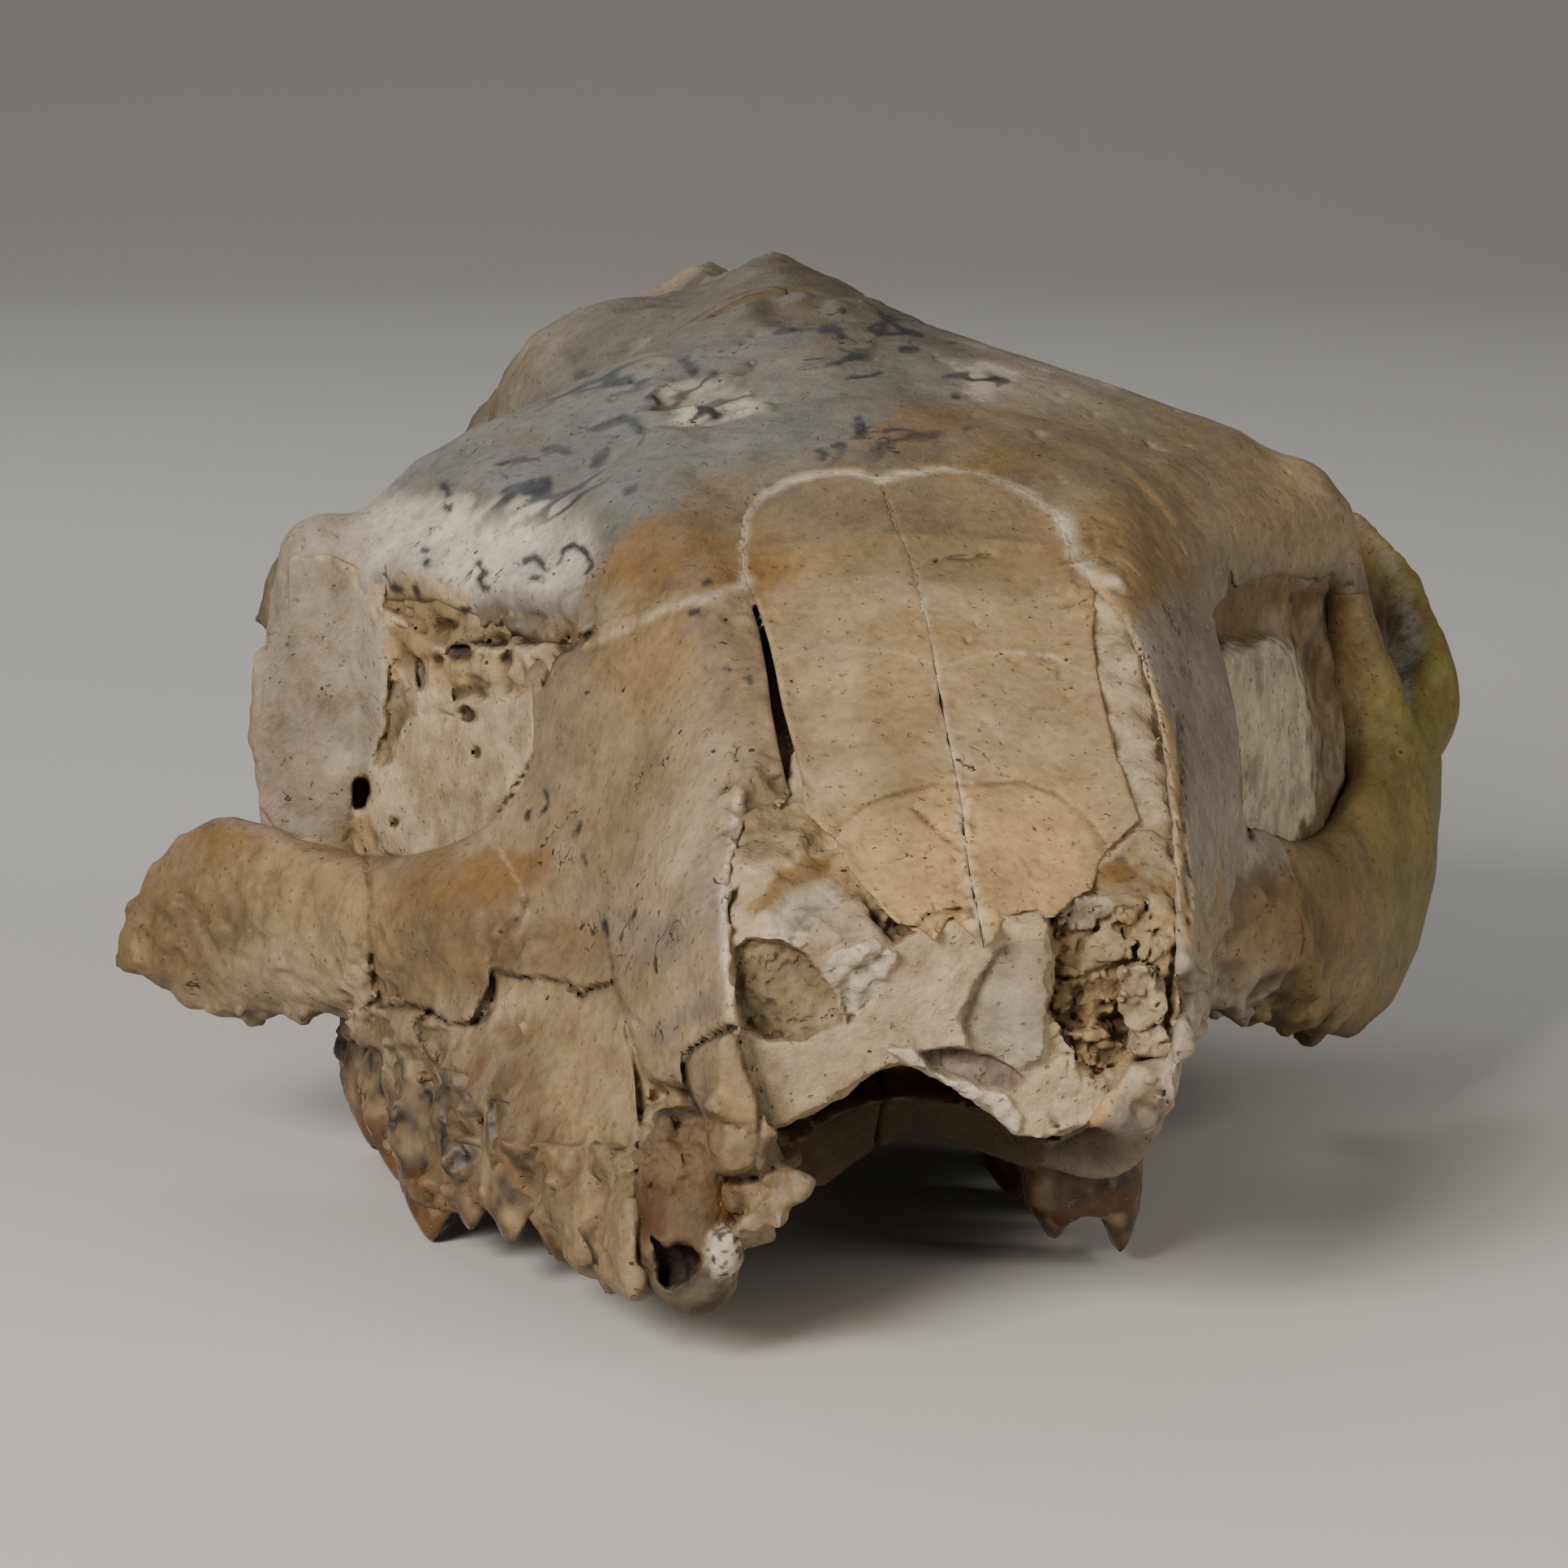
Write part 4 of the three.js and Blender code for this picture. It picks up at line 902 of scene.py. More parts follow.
def break_map(p, uv):
    """Place along y of the broken surface for each chart place: the patches in turn, each mixed in
    by an S-shaped weight across its edge, with its tilt about its middle and its grain."""
    depth = np.full(len(p), -20.0)
    depth = np.where(p[:, 2] < 35.5, WALL_FRONT + 0.5 * grain(p, 2.2, 40), depth)
    shaken = shake_break(p, uv)
    for k, (_, ring, y, tilt, edge, height, size) in enumerate(BREAK_PATCHES):
        box_low, box_high = np.min(ring, axis=0) - 20, np.max(ring, axis=0) + 20
        near = np.all((uv > box_low) & (uv < box_high), axis=1)
        if not near.any():
            continue
        inside = smooth_step(edge / 2, -edge / 2, ring_distance(shaken[near], ring, 40))
        across = (uv[near] - np.mean(ring, axis=0)) / 100
        local = y + across @ np.array(tilt) + height * rough(p[near], size, 3, 50 + k)
        depth[near] = depth[near] * (1 - inside) + local * inside
    return depth + 0.8 * crumb_creases(p, uv)


# %% Which part of the front is sediment
SEDIMENT_RING = [(1345, 716), (1388, 762), (1414, 820), (1432, 880), (1442, 940), (1448, 1000),
                 (1453, 1080), (1455, 1160), (1452, 1240), (1446, 1306), (1398, 1312), (1382, 1336),
                 (1352, 1374), (1300, 1430), (1000, 1430), (928, 1412), (936, 1385), (928, 1345),
                 (915, 1310), (905, 1270), (899, 1235), (895, 1180), (893, 1120), (896, 1070),
                 (903, 1042), (910, 1008), (930, 996), (966, 986), (976, 930), (1150, 760)]
ARCH_RING = [(912, 1440), (934, 1404), (960, 1386), (1000, 1370), (1040, 1346), (1072, 1322),
             (1110, 1308), (1140, 1316), (1170, 1336), (1212, 1362), (1250, 1396), (1290, 1401),
             (1330, 1388), (1352, 1374), (1400, 1400), (1400, 1560), (912, 1560)]


def sediment_cell(p):
    """Inside the sediment's ring on the chart, above the arch, a little under the muzzle's skin,
    and no further back than the nose's hollow."""
    uv, unit = chart(p)
    edge = ring_distance(uv, SEDIMENT_RING) * unit + ragged(p, 1.0, 0.3, 15)
    arch = -ring_distance(uv, ARCH_RING, 200) * unit + 0.35 * rough(p, 1.6, 2, 16)
    under = np.where(p[:, 1] < 34, arch, 30 - p[:, 2])
    return np.maximum(np.maximum(edge, under), p[:, 1] - 62)


def sediment_field(p):
    """The sediment: behind the break's map, under the muzzle's skin, within its cell."""
    uv, _ = chart(p)
    skin = loft_field(p, face_loft) + 0.8 + 0.7 * rough(p, 1.9, 3, 17)
    front = (break_map(p, uv) - p[:, 1]) * 0.8
    return np.maximum(np.maximum(skin, front), sediment_cell(p))


CELLS = {"right_nasal_bone": CELLS["right_nasal_bone"], "left_nasal_bone": CELLS["left_nasal_bone"],
         "nasal_sediment": sediment_cell, **{k: CELLS[k] for k in list(CELLS)[2:]}}

# %% [markdown]
# ## Cracks, steps and dents
# Bone breaks along jagged lines. A crack is a row of places on the chart with a width and a
# depth, and the bone's field is raised along it, which pushes the surface in. A step is a ring:
# one side stands higher. A swelling or a hollow is an ellipse with a bell-shaped height. The
# lines are shaken a little by grain, so that none is drawn with a ruler.

# %% The marks on the chart
# Cracks: places, width in units, depth in mm.
CRACKS = [
    ([(458, 1236), (478, 1242), (500, 1238), (530, 1246), (556, 1262), (580, 1263), (600, 1246),
      (609, 1226), (606, 1206), (611, 1196), (640, 1206), (662, 1204), (700, 1211), (716, 1229),
      (731, 1218), (755, 1212)], 4.5, 1.2),
    ([(530, 1246), (514, 1262), (520, 1290), (548, 1326), (566, 1352), (590, 1372), (605, 1388),
      (611, 1400)], 4.5, 1.0),
    ([(606, 1206), (608, 1180), (616, 1150), (642, 1130), (650, 1108)], 3, 0.4),
    ([(903, 1266), (884, 1276), (864, 1286), (850, 1296), (843, 1312), (847, 1336), (853, 1356),
      (862, 1371)], 6, 1.3),
    ([(862, 1371), (884, 1382), (905, 1388), (926, 1396)], 3.5, 0.5),
    ([(906, 1268), (914, 1300), (924, 1332), (934, 1352), (936, 1386), (930, 1440)], 4, 0.8),
    ([(884, 1450), (905, 1455), (934, 1452), (952, 1440)], 6, 1.0),
    ([(752, 1180), (758, 1214), (768, 1240), (790, 1262)], 4, 0.5),
    ([(1290, 1194), (1310, 1202), (1330, 1190), (1350, 1199), (1372, 1190), (1394, 1186)], 6, 1.0),
    ([(1384, 1296), (1398, 1304), (1414, 1304)], 6, 0.9),
    ([(1004, 1196), (1030, 1204), (1056, 1200), (1084, 1208)], 4, 0.6),
    ([(1126, 996), (1142, 1012), (1158, 1026), (1170, 1036)], 5, 0.6),
    ([(1152, 692), (1170, 688), (1192, 689), (1222, 684)], 4, 0.5),
    ([(1030, 1040), (1034, 1020), (1058, 1000), (1084, 984), (1120, 974), (1150, 968), (1188, 970),
      (1220, 964), (1262, 964), (1296, 978), (1330, 1000), (1352, 1022), (1362, 1044)], 3, 0.35),
    ([(1124, 1150), (1140, 1128), (1160, 1122), (1186, 1120)], 4, 0.7),
    ([(1236, 1128), (1262, 1126), (1284, 1127)], 5, 0.6),
    ([(1452, 880), (1454, 960), (1458, 1040), (1462, 1090), (1463, 1140)], 4, 0.7),
    ([(450, 1046), (457, 1100), (455, 1150), (462, 1200), (470, 1240)], 4, 0.6),
    ([(526, 770), (528, 808), (520, 846), (514, 862)], 5, 1.0),
    ([(700, 782), (694, 800), (676, 822), (670, 846)], 5, 1.0),
    ([(536, 776), (570, 790), (616, 778), (660, 792), (704, 800), (730, 778)], 8, 1.2),
    ([(1514, 706), (1524, 790), (1530, 880), (1532, 960), (1540, 1034)], 5, 0.8),
]
# Rough zones: middle, half sizes in units, height in mm, size of the lumps in mm.
ROUGH_ZONES = [
    ((730, 1480), (70, 80), 1.0, 3.0), ((715, 1440), (60, 30), 0.9, 1.4), ((490, 1370), (80, 90), 1.3, 3.4),
    ((838, 1395), (46, 62), 1.2, 2.2), ((945, 1000), (46, 60), 1.1, 1.8), ((620, 788), (110, 26), 1.1, 2.2),
    ((1560, 1150), (90, 80), 0.9, 3.6), ((1540, 1240), (90, 44), 1.8, 4.0),
    ((390, 1200), (90, 50), 0.6, 2.6), ((700, 520), (220, 110), 0.45, 5.0),
    ((950, 350), (130, 50), 1.0, 6.0), ((330, 1270), (120, 26), 1.2, 3.0), ((870, 490), (70, 30), 0.9, 3.0),
    ((1180, 1145), (70, 26), 0.6, 1.2), ((1190, 1060), (14, 90), 0.5, 0.9),
    ((1345, 720), (40, 40), 0.7, 1.4), ((820, 760), (120, 26), 0.4, 1.4), ((930, 1460), (60, 60), 1.0, 2.4),
    ((1420, 1340), (46, 50), 0.9, 2.0), ((300, 1100), (90, 60), 0.6, 3.0),
    ((200, 1170), (80, 60), 0.9, 2.4), ((455, 1200), (40, 60), 0.8, 1.8),
    ((620, 1330), (110, 70), 0.5, 4.0), ((560, 1180), (100, 50), 0.4, 2.4),
    ((906, 1010), (20, 90), 0.9, 1.2), ((540, 690), (120, 60), 0.2, 3.0),
    ((560, 1430), (110, 60), 1.5, 2.6), ((400, 850), (90, 160), 0.35, 2.0),
    ((600, 1260), (60, 30), 0.5, 1.6),
]
# Steps: ring, height in mm outwards, width of the edge in units.
STEPS = [
    ([(757, 1214), (768, 1240), (776, 1290), (784, 1340), (786, 1400), (787, 1480), (785, 1560),
      (850, 1560), (950, 1470), (930, 1440), (884, 1450), (862, 1372), (846, 1340), (800, 1330)],
     -1.7, 5),
    ([(610, 1200), (640, 1208), (700, 1214), (752, 1214), (768, 1240), (776, 1290), (786, 1400),
      (780, 1420), (700, 1410), (610, 1400), (548, 1326), (516, 1268), (580, 1266)], -0.9, 6),
    ([(440, 1290), (516, 1290), (560, 1350), (606, 1392), (600, 1450), (440, 1450)], -1.2, 10),
    ([(1034, 1038), (1060, 1002), (1120, 976), (1188, 972), (1262, 966), (1330, 1002), (1362, 1046),
      (1346, 1100), (1290, 1170), (1130, 1160)], -0.22, 4),
    ([(846, 1300), (880, 1276), (903, 1270), (916, 1310), (932, 1352), (932, 1386), (905, 1386),
      (866, 1370)], 0.5, 4),
]
# Swellings and hollows: centre, half sizes in units, height in mm outwards.
SWELLINGS = [
    ((556, 1130), (92, 84), 2.4), ((696, 1140), (62, 78), -2.2), ((828, 1130), (56, 160), 1.2),
    ((660, 960), (60, 110), -1.0), ((1230, 1060), (70, 70), 0.5), ((1110, 1060), (60, 60), 0.4),
    ((1050, 850), (70, 150), 0.6), ((1250, 850), (70, 150), 0.6), ((700, 1310), (70, 70), 0.8),
    ((940, 1000), (20, 24), -1.8), ((620, 720), (60, 40), 1.0), ((500, 690), (60, 60), 1.2),
    ((812, 1352), (14, 12), -2.6), ((800, 1350), (5, 6), 0.9), ((824, 1348), (5, 6), -2.2),
]


def ellipse(uv, middle, half):
    """How far a chart place is from an ellipse's middle, squared: 1 on its rim."""
    return ((uv[:, 0] - middle[0]) / half[0]) ** 2 + ((uv[:, 1] - middle[1]) / half[1]) ** 2


def along(uv, line, width, narrow):
    """1 on a line of chart places, falling off beside it like a bell."""
    d, _ = line_distance(uv, line, width * 3)
    return np.exp(-(d / width * narrow) ** 2)


def zone_relief(p, uv):
    """How far the lumps of the rough zones push the surface inwards, in mm."""
    push = np.zeros(len(p))
    for k, (middle, half, height, size) in enumerate(ROUGH_ZONES):
        q = ellipse(uv, middle, half)
        zone = q < 2.2
        if zone.any():
            push[zone] += (height * smooth_step(2.2, 0.6, q[zone])
                           * (rough(p[zone], size, 3, 140 + k) + 0.15))
    return push


def chart_relief(p):
    """How far the marks push the surface inwards, in mm, at each point."""
    uv, _ = chart(p)
    shaken = uv + 2.6 * np.stack([grain(p, 0.9, 21), grain(p, 0.9, 22)], 1)
    push = np.zeros(len(p))
    for line, width, depth in CRACKS:
        push += depth * along(shaken, line, width, 1.6)
    for ring, height, edge in STEPS:
        push -= height * smooth_step(edge / 2, -edge / 2, ring_distance(shaken, ring, 40))
    for middle, half, height in SWELLINGS:
        push -= height * np.exp(-1.4 * ellipse(uv, middle, half))
    return push + zone_relief(p, uv)


def surface_relief(p):
    """All the relief of bone: low undulations, fine grain, scattered pits, coarser lumps behind
    the forehead, and on the front the marks of the chart."""
    push = 0.16 * grain(p, 9, 30) + 0.07 * rough(p, 2.6, 3, 31)
    pits = grain(p * np.array([1.0, 0.55, 0.8]), 1.1, 34)
    rear = smooth_step(106, 122, p[:, 1])
    push += rear * (0.55 * rough(p, 7, 4, 36) + 0.3 * rough(p, 2.2, 3, 37))
    push += rear * smooth_step(-38, -45, p[:, 0]) * 2.0 * rough(p, 3.0, 3, 38)
    push += 0.45 * smooth_step(0.62, 0.86, pits) * smooth_step(-0.2, 0.5, grain(p, 11, 35))
    front = p[:, 1] < 112
    push[front] += chart_relief(p[front])
    return push

# %% [markdown]
# ## Sediment in the orbits
# Hard silt fills both orbits and was never cleaned out. On the right it stands almost flush
# with the brow and the bar behind the orbit, and it broke in slabs with hard edges. Its front
# is a map again, on a slope that runs back from the muzzle's side to the bar, and the mass
# behind it is an egg with a rough rim that laps over the bone here and there.

# %% Orbit maps
RIGHT_SLABS = [
    ("grey plate", [(354, 690), (406, 690), (442, 722), (472, 776), (480, 850), (462, 938), (436, 984),
                    (424, 1040), (300, 1040), (290, 690)], -0.5, (0, 0), 6, 0.4, 6.0),
    ("orange band", [(480, 836), (510, 846), (514, 880), (492, 934), (464, 946), (476, 890)],
     1.5, (0, 0), 6, 0.9, 1.8),
    ("upper crumbs", [(528, 812), (600, 806), (700, 830), (720, 840), (660, 862), (600, 850),
                      (540, 852)], 0.8, (0, 2), 5, 1.7, 1.8),
    ("crevice", [(478, 690), (760, 690), (730, 804), (690, 790), (640, 796), (560, 800), (528, 792),
                 (500, 764),
                 (474, 748)], 2.6, (0, -2), 5, 1.7, 1.5),
    ("side crumbs", [(640, 806), (690, 792), (760, 806), (740, 880), (656, 864)], -0.4, (0, 0), 5, 1.8, 1.9),
    ("dark nest", [(556, 846), (590, 842), (612, 860), (600, 884), (566, 880)], 1.4, (0, 0), 8, 1.4, 1.5),
    ("rear slab", [(474, 772), (500, 770), (530, 786), (526, 846), (510, 850), (482, 834)],
     1.6, (2, 0), 5, 1.2, 2.2),
    ("pale mass", [(494, 900), (520, 872), (572, 862), (628, 856), (668, 850), (672, 900), (640, 960),
                   (610, 1010), (584, 1052), (520, 1062), (462, 1052), (452, 1010), (476, 950)],
     -0.6, (-1, -1), 6, 0.45, 4.0),
    ("notch", [(436, 960), (452, 956), (458, 974), (450, 996), (436, 994)],
     5.0, (0, 0), 5, 0.4, 1.5),
    ("foot", [(420, 1010), (452, 1004), (470, 1050), (520, 1066), (480, 1090), (420, 1070)],
     0.5, (0, 0), 6, 0.8, 2.4),
]
LEFT_SLABS = [
    ("tan rear", [(1590, 900), (1640, 880), (1660, 960), (1640, 1040), (1600, 1120), (1560, 1090),
                  (1600, 1000)], -5.0, (2, -3), 26, 1.0, 3.0),
    ("brown recess", [(1590, 730), (1650, 730), (1650, 850), (1610, 880), (1596, 800)],
     3.0, (0, 0), 20, 0.8, 3.0),
    ("pale oval", [(1480, 800), (1540, 790), (1566, 784), (1592, 800), (1610, 850), (1620, 920), (1618, 990),
                   (1600, 1040), (1570, 1062), (1540, 1060), (1480, 1060)], -9.0, (5, 0), 30, 0.6, 4.0),
]
CRACKED_SLABS = [([(652, 846), (620, 868), (588, 860), (560, 884), (520, 880), (500, 902)], 5, 1.2),
                 ([(560, 884), (548, 930), (520, 960), (512, 1010)], 4, 0.8),
                 ([(588, 860), (600, 900), (640, 930)], 4, 0.7),
                 ([(480, 830), (510, 850), (530, 846)], 4, 0.8)]

# Small holes, also darkened with painted shade: middle, half sizes in units, depth in mm.
ORBIT_HOLES = [
    ((568, 805), (14, 8), 2.4), ((628, 811), (8, 9), 2.4), ((694, 800), (9, 9), 2.4),
    ((579, 878), (10, 9), 3.0), ((586, 927), (6, 6), 1.6), ((487, 1013), (7, 6), 1.6),
    ((604, 792), (18, 5), 1.6), ((550, 770), (12, 6), 1.4), ((664, 832), (6, 14), 1.8),
    ((518, 832), (5, 18), 2.0), ((652, 790), (10, 4), 1.4), ((540, 812), (7, 5), 1.2),
]


RIGHT_FILL = [(360, 688), (404, 682), (448, 700), (480, 716), (532, 722), (616, 722), (736, 734), (746, 850),
              (706, 900), (676, 970), (650, 1020), (586, 1084), (474, 1120), (430, 1096), (370, 1044),
              (342, 1024), (320, 994), (320, 952), (309, 916), (309, 892), (315, 805), (339, 787),
              (356, 760), (354, 706)]
LEFT_FILL = [(1480, 690), (1560, 690), (1640, 690), (1662, 720), (1672, 790), (1680, 880), (1680, 960),
             (1650, 1060),
             (1600, 1120), (1540, 1130), (1480, 1100)]


def slab_depth(p, uv, start, slabs, seed):
    """A start depth, changed inside each slab's ring by the slab's own step, tilt and grain."""
    depth = start.copy()
    shaken = uv + 4.0 * np.stack([grain(p, 1.6, seed), grain(p, 1.6, seed + 1)], 1)
    for k, (_, ring, step, tilt, edge, height, size) in enumerate(slabs):
        inside = smooth_step(edge / 2, -edge / 2, ring_distance(shaken, ring, 60))
        across = (uv - np.mean(ring, axis=0)) / 100
        local = start + step + across @ np.array(tilt) + height * rough(p, size, 3, seed + 2 + k)
        depth = depth * (1 - inside) + local * inside
    return depth


def hole_share(p, uv, middle, half):
    """1 in the middle of a small uneven hole, falling to 0 at its rim."""
    q = ellipse(uv, middle, half)
    return smooth_step(1.9, 0.4, q + 0.7 * grain(p, 0.7, 66) + 0.9 * grain(p, 1.6, 67))


def right_orbit_field(p):
    """A ring on the chart, drawn back into an egg, and cut by the map of its front."""
    uv, _ = chart(p)
    start = np.minimum(59.5 + (655 - uv[:, 0]) * 0.128, 87 + (440 - uv[:, 0]) * 0.016)
    start += 0.4 * rough(p, 5, 3, 61)
    depth = slab_depth(p, uv, start, RIGHT_SLABS, 62)
    for line, width, deep in CRACKED_SLABS:
        depth += deep * along(uv, line, width, 1.6)
    for middle, half, deep in ORBIT_HOLES:
        depth += deep * hole_share(p, uv, middle, half)
    mass = np.maximum(ring_distance(uv, RIGHT_FILL, 200) * 0.073 + 0.25 * rough(p, 2, 2, 60),
                      egg_field(p, (-40, 76, 43), (32, 24, 20)))
    return np.maximum(mass, (depth - p[:, 1]) * 0.8)


def left_orbit_field(p):
    """The same for the left orbit, where the sediment stands further back towards the rear."""
    uv, _ = chart(p)
    start = 74.0 + (uv[:, 0] - 1530) * 0.165 + 0.6 * rough(p, 5, 3, 71)
    depth = slab_depth(p, uv, start, LEFT_SLABS, 72)
    ring = ring_distance(uv, LEFT_FILL, 200) * 0.074
    mass = np.maximum(ring + 0.3 * rough(p, 3, 2, 70), egg_field(p, (40, 77, 44), (28, 24, 19)))
    return -soft_join(-mass, -(depth - p[:, 1]) * 0.8, 1.2)

# %% [markdown]
# ## Teeth
# The cheek teeth of an oreodont have crescent cusps: each molar carries two pairs of them, and
# each premolar one. The outer crests stand tallest, and between the crests lie narrow
# hollows. A tooth is a squarish post, ribbed on its outer face, and its lower side is a height
# surface over two shares: s, across the crown from inside to outside, and t, along the row.

# %% Places of the cheek teeth
# Name: x, y, half width, half length, cusps in the row, height of the tips over the ground.
CHEEK_TEETH = {
    "right_premolar_1": (-25.8, 17.8, 4.4, 4.5, 1, 4.2), "right_premolar_2": (-28.8, 27.8, 4.9, 4.9, 1, 4.6),
    "right_premolar_3": (-31.6, 38, 5.2, 5.2, 1, 4.0), "right_premolar_4": (-33.8, 47.6, 5.6, 4.6, 1, 3.0),
    "right_molar_1": (-35.6, 59.2, 7, 6.8, 2, 0.2), "right_molar_2": (-36.9, 73.8, 7.2, 7.2, 2, 2.4),
    "right_molar_3": (-38, 89.8, 7, 7.9, 2, 2), "left_premolar_3": (15.8, 40, 4.9, 4.7, 1, 1),
    "left_premolar_4": (16.2, 49.8, 5.4, 4.3, 1, 2.4), "left_molar_1": (16, 61.4, 5.8, 6.6, 2, 0.2),
    "left_molar_2": (17.6, 76, 6.2, 7.2, 2, 0.2), "left_molar_3": (18.6, 91.6, 6.2, 7.6, 2, 2),
}
TOOTH_TOP = 17.0


def tooth_field(p, x, y, half_x, half_y, cusps, lift):
    """Side: a squarish section, widest 10 mm up, with ribs on the outer face below each cusp.
    Lower side: crests along s = 0.7 and s = -0.5 with tips where the cosine along t peaks."""
    out = 1 if x > 0 else -1
    s = (p[:, 0] - x) * out / half_x
    t = (p[:, 1] - y) / half_y
    wave = (1 + np.cos(cusps * np.pi * (t - (0.5 if cusps == 2 else 0)))) / 2
    width = np.interp(p[:, 2], [0, 4, 10, 17], [0.84, 0.95, 1.03, 0.9])
    rib = 1 + (0.13 * wave ** 3 + 0.08 * (1 - wave) ** 8) * smooth_step(0.1, 0.8, s)
    q = (np.abs(s / rib) ** 3 + np.abs(t) ** 3) ** (1 / 3)
    side = (q - width) * min(half_x, half_y)
    outer, inner = np.exp(-((s - 0.7) / 0.27) ** 2), np.exp(-((s + 0.5) / 0.3) ** 2)
    crest = 4.2 - (4.2 - 1.3 * (1 - wave ** 0.8)) * outer - (4.2 - 1.4 - 1.8 * (1 - wave)) * inner
    lower = (lift + crest - p[:, 2]) * 0.62
    body = -soft_join(-side, -lower, 0.5)
    return np.maximum(body, p[:, 2] - TOOTH_TOP)


def cheek_tooth_field(name):
    """A tooth with fine ripples in its enamel. The first two right premolars lie under a crust."""
    values = CHEEK_TEETH[name]

    def field(p):
        f = tooth_field(p, *values)
        if name in ("right_premolar_1", "right_premolar_2"):
            lumps = 1.5 * rough(p, 3.2, 3, 80) - 0.4
            f = soft_join(f, egg_field(p, (values[0] - 0.6, values[1], 9.4),
                                       (values[2] * 0.98, values[3], 5.6)), 1.5) - lumps * 0.55
            return np.maximum(f, 2.2 - p[:, 2])
        near_gum = smooth_step(5.0, 9.5, p[:, 2] + 2.0 * grain(p, 3, 82))
        lumps = near_gum * np.maximum(rough(p, 2.2, 3, 83), 0)
        return f + 0.1 * rough(p * np.array([1, 1, 0.35]), 1.2, 3, 81) - 1.0 * lumps
    return field


# %% The broken canine
def from_chart(u, v, y):
    """The place in the drawing frame that lies at chart place u, v and at a given y."""
    ray = look + (u - SHEET / 2) / LENS * RIGHTWARD - (v - SHEET / 2) / LENS * UPWARD
    return CAMERA_PLACE + ray * (y - CAMERA_PLACE[1]) / ray[1]


CANINE_HOLLOW = [(802, 1522), (822, 1534), (838, 1530), (876, 1550), (862, 1564),
                 (850, 1580), (828, 1590), (808, 1584)]


def canine_field(p):
    """A stout stump: a post, split in front by a deep hollow with a jagged rim, a rounded foot
    below and a knob of crust beside the hollow."""
    post = bar_field(p, [(-22.4, 9.4, 18, 3.6, 3.6), (-22.9, 8.8, 14, 4.4, 4.2), (-22.8, 8.0, 10, 4.3, 4.3),
                         (-22.4, 7.8, 7.8, 3.1, 3.2)], BACK)
    foot = egg_field(p, from_chart(856, 1584, 7.5), (2.9, 3.4, 1.9))
    knob = egg_field(p, from_chart(893, 1543, 4.4), (1.6, 1.6, 2.1)) - 0.3 * np.maximum(grain(p, 0.8, 90), 0)
    f = soft_join(post, foot, 1.6)
    uv, unit = chart(p)
    hollow = np.maximum(ring_distance(uv, CANINE_HOLLOW, 60) * unit, p[:, 1] - 8.5)
    f = soft_cut(f, hollow + 0.4 * rough(p, 1.1, 3, 91), 0.15)
    facet = from_chart(850, 1470, 3.4) - p
    f = soft_cut(f, np.abs(facet[:, 0]) * 0.2 - facet[:, 1] - 0.5 + 0.3 * grain(p, 2, 92), 0.5)
    f = soft_join(f, knob, 0.5)
    crusty = smooth_step(1500, 1440, uv[:, 1]) + 0.35
    return f + crusty * (0.7 * rough(p, 1.8, 3, 93) - 0.2) * smooth_step(4.5, 7.5, p[:, 2])

# %% [markdown]
# ## Colour of old bone
# The bone took its colours from the ground: tan and honey on the nose, slate blue on the
# forehead, rust round the tooth roots, olive on the cheek arch, chalk along opened sutures.
# They could be painted by hand on an unwrapped mesh. Here each wash is a tone laid over a
# patch with a soft, uneven edge, and each line a tone along a row of chart places. They are
# mixed point by point and kept in the mesh as a colour attribute, so they need no picture.

# %% Tones
TONES = {
    "honey": (0.35, 0.218, 0.095), "tan": (0.235, 0.156, 0.078), "rosy": (0.19, 0.134, 0.078),
    "cream": (0.33, 0.245, 0.152), "chalk": (0.42, 0.34, 0.245), "dust": (0.215, 0.168, 0.12),
    "slate": (0.100, 0.089, 0.068), "blue": (0.102, 0.099, 0.083), "brow": (0.47, 0.42, 0.34),
    "umber": (0.105, 0.063, 0.029), "rust": (0.130, 0.068, 0.016), "olive": (0.118, 0.094, 0.014),
    "bark": (0.135, 0.092, 0.046), "ash": (0.215, 0.172, 0.127), "plum": (0.12, 0.088, 0.072),
    "earth": (0.07, 0.042, 0.019), "soot": (0.012, 0.009, 0.007), "ink": (0.012, 0.014, 0.017),
    "enamel": (0.055, 0.021, 0.006), "amber": (0.12, 0.055, 0.018), "moss": (0.066, 0.055, 0.032),
    "gold": (0.170, 0.116, 0.050), "veil": (0.150, 0.146, 0.122),
}

